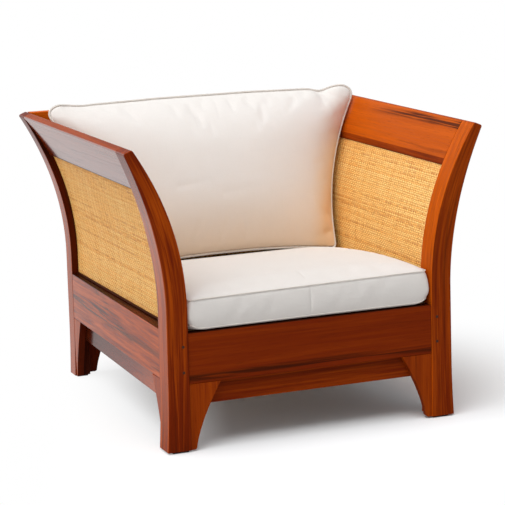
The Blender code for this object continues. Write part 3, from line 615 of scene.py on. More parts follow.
class NodeBench:
    """Places and links nodes in one node tree."""

    def __init__(self, tree: NodeTree) -> None:
        """Work on a node tree."""
        self.tree = tree

    def add(self, kind: str, inputs: dict | None = None, **settings: object) -> bpy.types.Node:
        """Add a node.

        Args:
            kind: The node's type without the ShaderNode prefix.
            inputs: What to feed to its sockets.
            settings: Properties to set on it.

        Returns:
            The node.
        """
        node = self.tree.nodes.new("ShaderNode" + kind)
        for key, value in settings.items():
            setattr(node, key, value)
        self.feed(node, inputs or {})
        return node

    def feed(self, node: bpy.types.Node, inputs: dict) -> None:
        """Link outputs to a node's sockets, or set the sockets' own values.

        Args:
            node: The node.
            inputs: An output or a value for each socket, by its name or number.
        """
        for key, value in inputs.items():
            if isinstance(value, Socket):
                self.tree.links.new(value, node.inputs[key])
            else:
                node.inputs[key].default_value = value

    def math(self, operation: str, *values: object, clamp: bool = False) -> Socket:
        """Return the result of a Math node."""
        node = self.add("Math", dict(enumerate(values)), operation=operation, use_clamp=clamp)
        return node.outputs[0]

    def times(self, *values: object, clamp: bool = False) -> Socket:
        """Return the product of two factors."""
        return self.math("MULTIPLY", *values, clamp=clamp)

    def line(self, factor: Socket, slope: object, start: object) -> Socket:
        """Return a factor times a slope, plus a start."""
        return self.math("MULTIPLY_ADD", factor, slope, start)

    def split(self, vector: Socket) -> Sequence[Socket]:
        """Return the three parts of a vector."""
        return self.add("SeparateXYZ", {0: vector}).outputs

    def attribute(self, name: str, output: str = "Vector") -> Socket:
        """Return an attribute that is stored on the mesh."""
        return self.add("Attribute", attribute_name=name).outputs[output]

    def place(self) -> Socket:
        """Return the place on the piece, in metres."""
        return self.add("TexCoord").outputs["Object"]

    def noise(self, vector: Socket, scale: float | Triple, detail: float = 3.0, roughness: float = 0.5,
              distortion: float = 0.0, offset: Triple = (0.0, 0.0, 0.0)) -> Socket:
        """Add a Noise texture.

        Args:
            vector: Where it is read.
            scale: Its scale, or its scale along each axis.
            detail: How many finer layers it has.
            roughness: How strong those are.
            distortion: How far it is bent.
            offset: How far it is moved, where it has a scale along each axis.

        Returns:
            Its factor.
        """
        if isinstance(scale, tuple):
            vector = self.add("Mapping", {"Vector": vector, "Scale": scale, "Location": offset}).outputs[0]
            scale = 1.0
        node = self.add("TexNoise", {"Vector": vector, "Scale": scale, "Detail": detail,
                                     "Roughness": roughness, "Distortion": distortion})
        return node.outputs["Fac"]

    def ramp(self, factor: Socket, low: float, high: float, start: float = 0.0, end: float = 1.0) -> Socket:
        """Map a factor smoothly from one range to another.

        Args:
            factor: The factor.
            low: Where the range starts.
            high: Where it ends.
            start: The result at its start.
            end: The result at its end.

        Returns:
            The mapped factor.
        """
        limits = {"Value": factor, "From Min": low, "From Max": high, "To Min": start, "To Max": end}
        return self.add("MapRange", limits, interpolation_type="SMOOTHSTEP").outputs[0]

    def mix(self, factor: object, first: object, second: object, blend: str = "MIX") -> Socket:
        """Mix two colours.

        Args:
            factor: The second colour's share.
            first: A colour or an output.
            second: A colour or an output.
            blend: How they are mixed.

        Returns:
            The mixed colour.
        """
        colours = [(*value, 1.0) if isinstance(value, tuple) else value for value in (first, second)]
        node = self.add("Mix", data_type="RGBA", blend_type=blend)
        self.feed(node, {"Factor": factor, 6: colours[0], 7: colours[1]})
        return node.outputs[2]

    def bump(self, height: Socket, strength: float, distance: float) -> Socket:
        """Return a normal bent by a height."""
        return self.add("Bump", {"Strength": strength, "Distance": distance, "Height": height}).outputs[0]

    def whiten(self, surface: Socket, white: Socket, output: str, share: Socket | None = None) -> None:
        """Show white instead of a surface to the camera and in reflections, but not to the light.

        Args:
            surface: The shader that the light meets.
            white: The shader that is seen.
            output: Name of the tree's output node.
            share: How much of the surface is hidden; all of it without this.
        """
        path = self.add("LightPath").outputs
        seen = self.math("MAXIMUM", path["Is Camera Ray"], path["Is Glossy Ray"])
        seen = self.math("MAXIMUM", seen, path["Is Transmission Ray"])
        if share is not None:
            seen = self.times(seen, share)
        blend = self.add("MixShader", {0: seen, 1: surface, 2: white})
        self.feed(self.tree.nodes[output], {"Surface": blend.outputs[0]})


def new_group(name: str, source: str, results: Sequence[str]) -> tuple[NodeBench, Socket, bpy.types.Node]:
    """Start a shader node group that reads one vector and gives factors.

    Args:
        name: Name of the group.
        source: Name of the vector.
        results: Names of the factors.

    Returns:
        A bench on the group, the vector, and the node to feed the factors to.
    """
    tree = bpy.data.node_groups.new(name, "ShaderNodeTree")
    tree.interface.new_socket(source, in_out="INPUT", socket_type="NodeSocketVector")
    for title in results:
        tree.interface.new_socket(title, in_out="OUTPUT", socket_type="NodeSocketFloat")
    vector = tree.nodes.new("NodeGroupInput").outputs[source]
    return NodeBench(tree), vector, tree.nodes.new("NodeGroupOutput")


def new_material(name: str) -> tuple[Material, NodeBench, bpy.types.Node]:
    """Start a material with its Principled shader.

    Args:
        name: Name of the material.

    Returns:
        The material, a bench on its nodes, and the shader.
    """
    material = bpy.data.materials.new(name)
    material.use_nodes = True
    return material, NodeBench(material.node_tree), material.node_tree.nodes["Principled BSDF"]


def timber_group() -> NodeTree:
    """Build the figure that all the timber shares: bands, dark streaks, a heart line and pores.

    Returns:
        A group that reads grain coordinates: across, through and along the board.
    """
    bench, grain, target = new_group("Timber figure", "Grain", ("Figure", "Streak", "Heart", "Pore"))
    wander = bench.noise(grain, (6.0, 6.0, 2.2), 2.0)
    bands = bench.noise(grain, (56.0, 56.0, 2.0), 4.0, 0.55, 0.9)
    fine = bench.noise(grain, (210.0, 210.0, 5.0), 3.0, 0.6, 0.3)
    dark = bench.noise(grain, (24.0, 24.0, 1.4), 3.0, 0.6, 1.2, (3.1, 7.4, 1.9))
    ribs = bench.noise(grain, (150.0, 150.0, 3.0), 2.0, 0.5, 0.5, (1.3, 0.4, 5.2))
    pores = bench.noise(grain, (900.0, 900.0, 26.0), 1.0)
    figure = bench.math("ADD", bench.times(bands, 0.60), bench.times(fine, 0.40))
    drift = bench.line(wander, 0.030, -0.015)
    away = bench.math("ABSOLUTE", bench.math("ADD", bench.split(grain)[0], drift))
    bench.feed(target, {
        "Figure": bench.ramp(figure, 0.30, 0.70),
        "Streak": bench.times(bench.ramp(dark, 0.50, 0.70), bench.ramp(ribs, 0.44, 0.60)),
        "Heart": bench.times(bench.ramp(away, 0.003, 0.013, 1.0, 0.0), bench.ramp(ribs, 0.30, 0.56)),
        "Pore": bench.ramp(pores, 0.62, 0.74),
    })
    return bench.tree


@dataclass(frozen=True)
class TimberFinish:
    """A timber with a figure in three tones under a coat of varnish."""

    name: str
    pale: Triple
    deep: Triple
    dark: Triple
    roughness: float
    specular: float = 0.010
    contrast: float = 0.90
    heart_depth: float = 0.85
    pore_depth: float = 0.35
    coat_ior: float = 1.5
    coat_roughness: float = 0.12

    def build(self, group: NodeTree) -> Material:
        """Make the material.

        Args:
            group: The shared timber figure.

        Returns:
            The material.
        """
        material, bench, shader = new_material(self.name)
        figure = bench.add("Group", node_tree=group)
        bench.feed(figure, {"Grain": bench.attribute("grain")})
        figure = figure.outputs
        tone, streaks, gloss = bench.split(bench.attribute("board"))
        swing = bench.line(figure["Figure"], self.contrast, -0.5 * self.contrast)
        level = bench.line(swing, streaks, tone)
        heart = bench.times(figure["Heart"], bench.attribute("heart", "Fac"), clamp=True)
        colour = bench.mix(bench.math("MAXIMUM", level, 0.0, clamp=True), self.deep, self.pale)
        for share in (bench.times(level, -1.0, clamp=True), bench.times(figure["Streak"], streaks),
                      bench.times(heart, self.heart_depth), bench.times(figure["Pore"], self.pore_depth)):
            colour = bench.mix(share, colour, self.dark)
        bench.feed(shader, {
            "Base Color": colour,
            "Roughness": bench.line(figure["Figure"], -0.08, self.roughness + 0.04),
            "Normal": bench.bump(figure["Pore"], 0.06, -0.0004),
            "Specular IOR Level": self.specular,
            "Coat Weight": gloss,
            "Coat IOR": self.coat_ior,
            "Coat Roughness": self.coat_roughness,
        })
        return material


@dataclass(frozen=True)
class PlainFinish:
    """A small dark part with a faint mottle."""

    name: str
    colour: Triple
    roughness: float
    mottle_scale: float = 260.0
    specular: float = 0.12

    def build(self) -> Material:
        """Make the material.

        Returns:
            The material.
        """
        material, bench, shader = new_material(self.name)
        mottle = bench.noise(bench.place(), self.mottle_scale, 3.0, 0.6)
        lighter = tuple(channel * 1.9 + 0.004 for channel in self.colour)
        bench.feed(shader, {
            "Base Color": bench.mix(mottle, self.colour, lighter),
            "Roughness": bench.line(mottle, 0.25, self.roughness - 0.12),
            "Normal": bench.bump(mottle, 0.15, 0.0003),
            "Specular IOR Level": self.specular,
        })
        return material


# Hardwood joinery

@dataclass
class Joinery:
    """The hardwood frame: posts, rails, aprons, leg brackets, arm rails and sills."""

    sizes: ChairSizes
    timber: Material
    sill_timber: Material
    post_cuts: int = 26
    foot_cuts: int = 6
    arm_cuts: int = 14
    bracket_cuts: int = 16
    back_rail_cuts: int = 10
    post_easing: float = 0.0026
    foot_easing: float = 0.0012
    rail_easing: float = 0.0022
    apron_easing: float = 0.0018
    end_easing: float = 0.0006
    bracket_easing: float = 0.0008
    back_rail_easing: float = 0.0030
    arm_easing: float = 0.0016
    arm_under_round: float = 0.0045
    toe_radius: float = 0.006
    front_rail_heart: float = 0.194
    side_rail_heart: float = 0.240
    front_apron_heart: float = 0.172
    arm_heart: float = 0.772
    # The arm rails' painted shade: a painted shadow along the lower outer edge and painted shade on the inner
    # chamfer.
    dark_edge: float = 0.007
    dark_edge_tone: float = -1.2
    band_edge: float = 0.0012
    band_tone: float = -0.52
    tip_shade_z: float = 0.60
    tip_tones: Pair = (-0.55, -0.05)
    seed: int = field(default=0, init=False)

    def finish(self, piece: Piece, node: str, grain: Grain, heart: float = NO_HEART, bend: Rule | None = None,
               shade: Rule | None = None, material: Material | None = None) -> None:
        """Store a board's grain, shade it smooth and dress it.

        Args:
            piece: The board.
            node: The node that it replaces.
            grain: The direction of its grain.
            heart: Where the dark heart line lies across the board.
            bend: Turns places on a swept board into places on a straight one.
            shade: Gives a change of tone at each place; on the arm rails it is painted shade.
            material: Another timber than the usual one.
        """
        flatten(piece)
        points = get_points(piece)
        places = points if bend is None else bend(points)
        self.seed += 1
        store_grain(piece, places, grain, 0 if grain is Grain.ALONG_Z else 2, heart, self.seed)
        twin = BOARD_LOOKS.get(node.partition("_")[2], BoardLook())
        change = 0.0 if shade is None else shade(points)
        store_look(piece, BOARD_LOOKS.get(node, twin), places[:, grain.value], change)
        dress(piece, material or self.timber, "hardwood", "frame", node)

    def post(self, side: Side, is_front: bool) -> None:
        """Make a horn post: a straight leg that sweeps outwards to a thin tip.

        Args:
            side: The side of the chair.
            is_front: Whether it is the front post.
        """
        s = self.sizes
        if is_front:
            end, near, far, inner, outer = "front", s.front_y, s.front_post_back, s.arm_inner, s.front_outer
        else:
            end, near, far, inner, outer = "rear", s.rear_post_front, s.rear_y, s.rear_inner, s.rear_outer
        node = f"{side.label}_{end}_post"
        piece = add_block(node + "_timber", (0.0, near, s.foot_z), (1.0, far, s.arm_height))
        slice_block(piece, 2, [*np.linspace(s.foot_z, s.foot_sweep_z, self.foot_cuts)[1:],
                               *np.linspace(s.bend_z, s.arm_height, self.post_cuts)[:-1]])
        share, y, z = get_points(piece).T
        lowered = s.bend_z + (z - s.bend_z) * (s.tip_out_z - s.bend_z) / (s.arm_height - s.bend_z)
        z = np.where((share > 0.5) & (z > s.bend_z), lowered, z)
        x = side.value * np.where(share > 0.5, outer(z), inner(z))
        set_points(piece, np.stack((x, y, z), axis=1))
        mend_normals(piece)
        bevel_edges(piece, s.tip_radius, 3, lambda a, b: min(a.z, b.z) > s.tip_out_z - HAIR
                    and abs(a.y - b.y) > LONG_EDGE)
        bevel_edges(piece, self.post_easing, 3, lambda a, b: max(a.z, b.z) > s.foot_z + HAIR)
        bevel_edges(piece, self.foot_easing, 2, lambda a, b: max(a.z, b.z) < s.foot_z + HAIR)
        tip_tone = self.tip_tones[side is Side.RIGHT]

        def straighten(points: Array) -> Array:
            """Take the sweep out of the post's places."""
            height = np.minimum(points[:, 2], s.tip_out_z)
            away = np.abs(points[:, 0]) - (inner(height) + outer(height)) / 2
            return np.column_stack((away, points[:, 1:]))

        def shade(points: Array) -> Array:
            """Darken the post's tip."""
            return tip_tone * unit((points[:, 2] - self.tip_shade_z) / (s.arm_height - self.tip_shade_z))

        self.finish(piece, node, Grain.ALONG_Z, bend=straighten, shade=shade)

    def rail(self, node: str, low: Triple, high: Triple, grain: Grain, easing: float, heart: float = NO_HEART,
             material: Material | None = None) -> None:
        """Make a straight board with eased long edges and crisp ends.

        Args:
            node: The node that it replaces.
            low: Lowest corner.
            high: Highest corner.
            grain: The direction of its grain and length.
            easing: Width of the rounding on the long edges.
            heart: Height of the dark heart line.
            material: Another timber than the usual one.
        """
        piece = add_block(node + "_timber", low, high)
        bevel_edges(piece, easing, 3, lambda a, b: abs(a[grain.value] - b[grain.value]) > LONG_EDGE)
        bevel_edges(piece, self.end_easing, 1)
        self.finish(piece, node, grain, heart, material=material)

    def cross_boards(self, kind: str, heights: Pair, inset: float, thickness: float, easing: float,
                     heart: float) -> None:
        """Make the front and the rear board of one kind.

        Args:
            kind: What the boards are.
            heights: Their lowest and highest planes.
            inset: How far they stand behind the faces of the posts.
            thickness: How thick they are.
            easing: Width of the rounding on the long edges.
            heart: Height of the front board's dark heart line.
        """
        s = self.sizes
        reach, face = s.inner_half - s.gap, s.front_y + inset
        self.rail(f"front_{kind}", (-reach, face, heights[0]), (reach, face + thickness, heights[1]),
                  Grain.ALONG_X, easing, heart)
        reach, face = s.rear_in - s.gap, s.rear_y - inset
        self.rail(f"rear_{kind}", (-reach, face - thickness, heights[0]), (reach, face, heights[1]),
                  Grain.ALONG_X, easing)

    def side_boards(self, kind: str, heights: Pair, front: Pair, rear: Pair, easing: float,
                    heart: float = NO_HEART) -> None:
        """Make the two boards of one kind between the posts of a side, whose ends lie at unlike distances.

        Args:
            kind: What the boards are.
            heights: Their lowest and highest planes.
            front: Their inner and outer faces at the front end.
            rear: Their inner and outer faces at the rear end.
            easing: Width of the rounding on the long edges.
            heart: Height of the dark heart line.
        """
        near, far = self.sizes.span
        for side in Side:
            node = f"{side.label}_{kind}"
            piece = add_block(node + "_timber", (0.0, near, heights[0]), (1.0, far, heights[1]))
            points = get_points(piece)
            share = (points[:, 1] - near) / (far - near)
            inner, outer = between((front[0], rear[0]), share), between((front[1], rear[1]), share)
            points[:, 0] = side.value * between((inner, outer), points[:, 0])
            set_points(piece, points)
            mend_normals(piece)
            bevel_edges(piece, easing, 3, lambda a, b: abs(a.y - b.y) > LONG_EDGE)
            bevel_edges(piece, self.end_easing, 1)
            self.finish(piece, node, Grain.ALONG_Y, heart)

    def seat_rails(self) -> None:
        """Make the four seat rails."""
        s = self.sizes
        heights = (s.rail_bottom, s.rail_top)
        self.cross_boards("seat_rail", heights, s.rail_setback, s.rail_thickness, self.rail_easing,
                          self.front_rail_heart)
        self.side_boards("seat_rail", heights, (s.inner_half, s.front_out - s.side_rail_front_setback),
                         (s.inner_half, s.rear_out - s.side_rail_rear_setback), self.rail_easing,
                         self.side_rail_heart)

    def aprons(self) -> None:
        """Make the strips under the rails behind the leg brackets."""
        s = self.sizes
        heights = (s.apron_bottom, s.rail_bottom - s.gap)
        behind = s.bracket_thickness + s.gap
        self.cross_boards("apron", heights, s.bracket_setback + behind, s.apron_thickness, self.apron_easing,
                          self.front_apron_heart)
        near, far = s.span
        inset = s.side_bracket_setback + behind
        front_x = s.front_out - inset
        bracket_end = s.rear_post_front - s.rear_side_bracket[0]
        rear_x = between((front_x, s.rear_out - inset), (far - near) / (bracket_end - near))
        self.side_boards("apron", heights, (front_x - s.apron_thickness, front_x),
                         (rear_x - s.apron_thickness, rear_x), self.apron_easing)

    def bracket(self, node: str, size: Pair, place: Callable[[Array, Array], tuple[Array, Array]]) -> None:
        """Make a leg bracket with a curved free edge and a rounded toe.

        Args:
            node: The node that it replaces.
            size: Its width under the rail and at the floor.
            place: Turns the reach from the post and the share of the thickness into x and y.
        """
        s = self.sizes
        top = s.rail_bottom - s.gap
        piece = add_block(node + "_timber", (0.0, 0.0, s.foot_z), (1.0, 1.0, top))
        slice_block(piece, 2, np.linspace(s.foot_z, top, self.bracket_cuts)[1:-1])
        points = get_points(piece)
        share = unit((points[:, 2] - s.foot_z) / (top - s.foot_z))
        width = between(size[::-1], share ** s.bracket_power)
        is_toe = (points[:, 0] > 0.5) & (share < HAIR)
        points[:, 0], points[:, 1] = place(s.gap + points[:, 0] * width, points[:, 1])
        set_points(piece, points)
        mend_normals(piece)
        toe = {tuple(np.round(point, 5)) for point in points[is_toe]}
        bevel_edges(piece, min(self.toe_radius, size[1] * 0.4), 4,
                    lambda a, b: tuple(np.round(a, 5)) in toe and tuple(np.round(b, 5)) in toe)
        bevel_edges(piece, self.bracket_easing, 2)
        self.finish(piece, node, Grain.ALONG_Z)

    def brackets(self, side: Side) -> None:
        """Make the four leg brackets of one side.

        Args:
            side: The side of the chair.
        """
        s, sign, thick = self.sizes, side.value, self.sizes.bracket_thickness
        front_face, rear_face = s.front_y + s.bracket_setback, s.rear_y - s.bracket_setback
        front_side = s.front_out - s.side_rail_front_setback - s.front_side_reveal
        front_thick = front_side - (s.front_out - s.side_bracket_setback - thick)
        rear_side = s.rear_out - s.side_bracket_setback
        self.bracket(f"{side.label}_front_leg_bracket", s.front_bracket, lambda reach, share: (
            sign * (s.inner_half - reach), front_face + thick * share))
        self.bracket(f"{side.label}_rear_leg_bracket", s.rear_bracket, lambda reach, share: (
            sign * (s.rear_in - reach), rear_face - thick * share))
        self.bracket(f"{side.label}_front_side_bracket", s.front_side_bracket, lambda reach, share: (
            sign * (front_side - front_thick * share), s.front_post_back + reach))
        self.bracket(f"{side.label}_rear_side_bracket", s.rear_side_bracket, lambda reach, share: (
            sign * (rear_side - thick * share), s.rear_post_front - reach))

    def arm_rail(self, side: Side) -> None:
        """Make an arm rail: a board curved with the posts, chamfered under its inner face.

        Args:
            side: The side of the chair.
        """
        s = self.sizes
        node = f"{side.label}_arm_rail"
        near, far = s.span
        bottom, chamfer_top = s.arm_rail_bottom, s.arm_rail_bottom + s.arm_chamfer_height
        outer_low = bottom - s.arm_rail_fall
        piece = add_block(node + "_timber", (0.0, near, bottom), (1.0, far, s.arm_height))
        slice_block(piece, 2, [bottom + self.dark_edge, chamfer_top, chamfer_top + self.band_edge,
                               *np.linspace(chamfer_top, s.arm_height, self.arm_cuts)[1:-1]])
        share, y, z = get_points(piece).T
        lowered = outer_low + (z - bottom) * (s.tip_out_z - outer_low) / (s.arm_height - bottom)
        z = np.where(share > 0.5, lowered, z)
        foot = s.arm_inner(bottom) + s.arm_chamfer_depth
        below = unit((chamfer_top - z) / s.arm_chamfer_height)
        chamfer = s.arm_inner(chamfer_top) * (1 - below) + foot * below
        inner = np.where(below > 0, chamfer, s.arm_inner(z))
        x = side.value * np.where(share > 0.5, s.arm_outer(z), inner)
        set_points(piece, np.stack((x, y, z), axis=1))
        mend_normals(piece)

        def is_under(a: Vector, b: Vector) -> bool:
            """Tell whether an edge runs along the underside."""
            return max(a.z, b.z) < bottom + HAIR and abs(a.y - b.y) > LONG_EDGE

        bevel_edges(piece, s.tip_radius, 3, lambda a, b: min(a.z, b.z) > s.tip_out_z - HAIR
                    and abs(a.y - b.y) > LONG_EDGE)
        bevel_edges(piece, self.arm_under_round, 3, lambda a, b: is_under(a, b) and abs(a.x) > foot + 0.005)
        bevel_edges(piece, self.arm_easing, 2, is_under)
        bevel_edges(piece, self.end_easing, 1)

        def shade(points: Array) -> Array:
            """Paint shade on the chamfer inside and a shadow along the lower edge outside."""
            outside = np.abs(points[:, 0]) > s.arm_inner(points[:, 2]) + s.arm_rail_foot / 2
            band = ~outside & (points[:, 2] < chamfer_top + 0.1 * self.band_edge)
            edge = outside & (points[:, 2] < outer_low + 0.8 * self.dark_edge)
            return self.band_tone * band + self.dark_edge_tone * edge

        self.finish(piece, node, Grain.ALONG_Y, self.arm_heart, shade=shade)

    def back_top_rail(self) -> None:
        """Make the rail along the top of the back, between the swept rear posts."""
        s = self.sizes
        half = s.back_rail_thickness / 2
        piece = add_block("back_top_rail_timber", (-1.0, s.rear_post_mid - half, s.back_rail_bottom),
                          (1.0, s.rear_post_mid + half, s.arm_height))
        slice_block(piece, 2, np.linspace(s.back_rail_bottom, s.arm_height, self.back_rail_cuts)[1:-1])
        points = get_points(piece)
        points[:, 0] *= s.rear_inner(points[:, 2]) - s.gap
        set_points(piece, points)
        bevel_edges(piece, self.back_rail_easing, 3, lambda a, b: abs(a.x - b.x) > 0.1)
        bevel_edges(piece, self.end_easing, 1)
        self.finish(piece, "back_top_rail", Grain.ALONG_X)

    def sills(self) -> None:
        """Make the beads that the cane stands on, in a near-black timber that is partly their own dark wood
        and partly painted shade along the ledge.
        """
        s = self.sizes
        low, (near, far), half = s.rail_top + s.gap, s.span, s.sill_width / 2
        for side in Side:
            middle = side.value * (s.inner_half + s.cane_inset)
            self.rail(f"{side.label}_cane_sill", (middle - half, near, low), (middle + half, far, s.sill_top),
                      Grain.ALONG_Y, self.rail_easing, material=self.sill_timber)
        reach, middle = s.rear_in - s.gap, s.rear_post_mid
        self.rail("back_cane_sill", (-reach, middle - half, low), (reach, middle + half, s.sill_top),
                  Grain.ALONG_X, self.rail_easing, material=self.sill_timber)

    def build(self) -> None:
        """Make all the hardwood."""
        for side in Side:
            self.post(side, True)
            self.post(side, False)
        self.seat_rails()
        self.aprons()
        for side in Side:
            self.brackets(side)
            self.arm_rail(side)
        self.back_top_rail()
        self.sills()


@dataclass
class Fastenings:
    """The peg ends in the front posts and the glides under the feet."""

    sizes: ChairSizes
    peg_wood: Material
    glide: Material
    proud: float = 0.0003
    rim: float = 0.0006
    peg_sides: int = 24

    def peg(self, side: Side, place: str, z: float) -> None:
        """Make one peg with an eased, slightly proud end.

        Args:
            side: The side of the chair.
            place: The peg's word in its name.
            z: Its height.
        """
        s = self.sizes
        clear_selection()
        middle = (side.value * s.peg_x, s.front_y - self.proud + s.peg_depth / 2, z)
        bpy.ops.mesh.primitive_cylinder_add(vertices=self.peg_sides, radius=s.peg_radius, depth=s.peg_depth,
                                            location=middle, rotation=(math.pi / 2, 0.0, 0.0))
        piece = bpy.context.object
        node = f"{side.label}_{place}_peg"
        piece.name = piece.data.name = node + "_end"
        bpy.ops.object.transform_apply(location=True, rotation=True, scale=True)
        bevel_edges(piece, self.rim, 2)
        smooth(piece)
        dress(piece, self.peg_wood, "peg", "frame", node)

    def build(self) -> None:
        """Make the pegs and give the glides their finish."""
        for side in Side:
            for place, z in zip(("lower", "upper"), self.sizes.peg_heights):
                self.peg(side, place, z)
            for end in ("front", "rear"):
                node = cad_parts[f"{side.label}_{end}_glide"]
                for holder in node.material_slots:
                    holder.material = self.glide
                log.info("%s keeps its solid", node.name)


@dataclass
class Slatting:
    """The slatted seat deck on its cleats, and the raked back rest."""

    sizes: ChairSizes
    timber: Material
    easing: float = 0.0018
    flat_angle: float = math.radians(0.3)
    seed: int = field(default=40, init=False)

    def board(self, node: str, grain: Grain = Grain.ALONG_X, slope: float = 0.0) -> None:
        """Ease the edges of a copy of a plain board.

        Args:
            node: The node that is copied and replaced.
            grain: The direction of its grain before it is sloped.
            slope: How far the board leans back, in radians.
        """
        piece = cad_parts[node].copy()
        piece.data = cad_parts[node].data.copy()
        for key in list(piece.keys()):
            del piece[key]
        bpy.context.scene.collection.objects.link(piece)
        piece.parent = None
        piece.name = piece.data.name = node + "_board"
        mend_normals(piece)
        with editing(piece):
            bpy.ops.mesh.select_all(action="SELECT")
            bpy.ops.mesh.dissolve_limited(angle_limit=self.flat_angle)
        bevel_edges(piece, self.easing, 2)
        flatten(piece)
        places = tip_back(get_points(piece), -slope)
        self.seed += 1
        store_grain(piece, places, grain, (grain.value + 1) % 3, -NO_HEART, self.seed)
        tone = 0.35 + 0.3 * (self.seed % 3) / 2
        look = BoardLook((tone, tone), 0.4, 0.0, outer_gloss=(0.0, 0.0))
        store_look(piece, look, places[:, grain.value])
        dress(piece, self.timber, "slat_wood", "frame", node)

    def build(self) -> None:
        """Make the deck and the rest."""
        for index in range(1, 8):
            self.board(f"seat_slat_{index}")
        for index in range(1, 5):
            self.board(f"rest_slat_{index}")
        for side in Side:
            self.board(f"{side.label}_deck_cleat", Grain.ALONG_Y)
            self.board(f"{side.label}_rest_stile", Grain.ALONG_Z, self.sizes.back_rake)
        self.board("rest_foot_rail")


# Woven cane

@dataclass(frozen=True)
class CaneFinish:
    """Split cane in tan strands, each with its own tone, and darker flecks along it."""

    name: str
    pale: Triple
    tan: Triple
    dark: Triple
    flecks: float

    def build(self) -> Material:
        """Make the material."""
        material, bench, shader = new_material(self.name)
        strand = bench.add("Attribute", attribute_name="strand")
        split = bench.add("SeparateXYZ")
        bench.feed(split, {0: strand.outputs["Vector"]})
        place = bench.add("TexCoord").outputs["Object"]
        broad = bench.noise(place, 7.0, 2.0)
        run = bench.noise(strand.outputs["Vector"], (26.0, 61.0, 37.0), 2.0)
        tone = bench.math("ADD", bench.times(split.outputs[1], 0.55), bench.times(run, 0.45))
        colour = bench.mix(bench.ramp(tone, 0.28, 0.70), self.tan, self.pale)
        colour = bench.mix(bench.ramp(broad, 0.40, 0.75, 0.0, 0.45), colour, self.tan)
        fleck = bench.noise(strand.outputs["Vector"], (26.0, 97.0, 53.0), 3.0, 0.6)
        mask = bench.times(bench.ramp(fleck, 0.54, 0.66), self.flecks)
        colour = bench.mix(mask, colour, self.dark)
        stained = bench.times(bench.ramp(split.outputs[1], 0.16, 0.02), bench.ramp(run, 0.40, 0.58))
        colour = bench.mix(bench.times(stained, 0.75), colour, self.dark)
        bench.feed(shader, {"Base Color": colour})
        bench.feed(shader, {"Roughness": bench.line(fleck, 0.30, 0.38)})
        fibre = bench.noise(strand.outputs["Vector"], (400.0, 97.0, 53.0), 2.0)
        bench.feed(shader, {"Normal": bench.bump(fibre, 0.20, 0.0003)})
        shader.inputs["Specular IOR Level"].default_value = 0.65
        return material


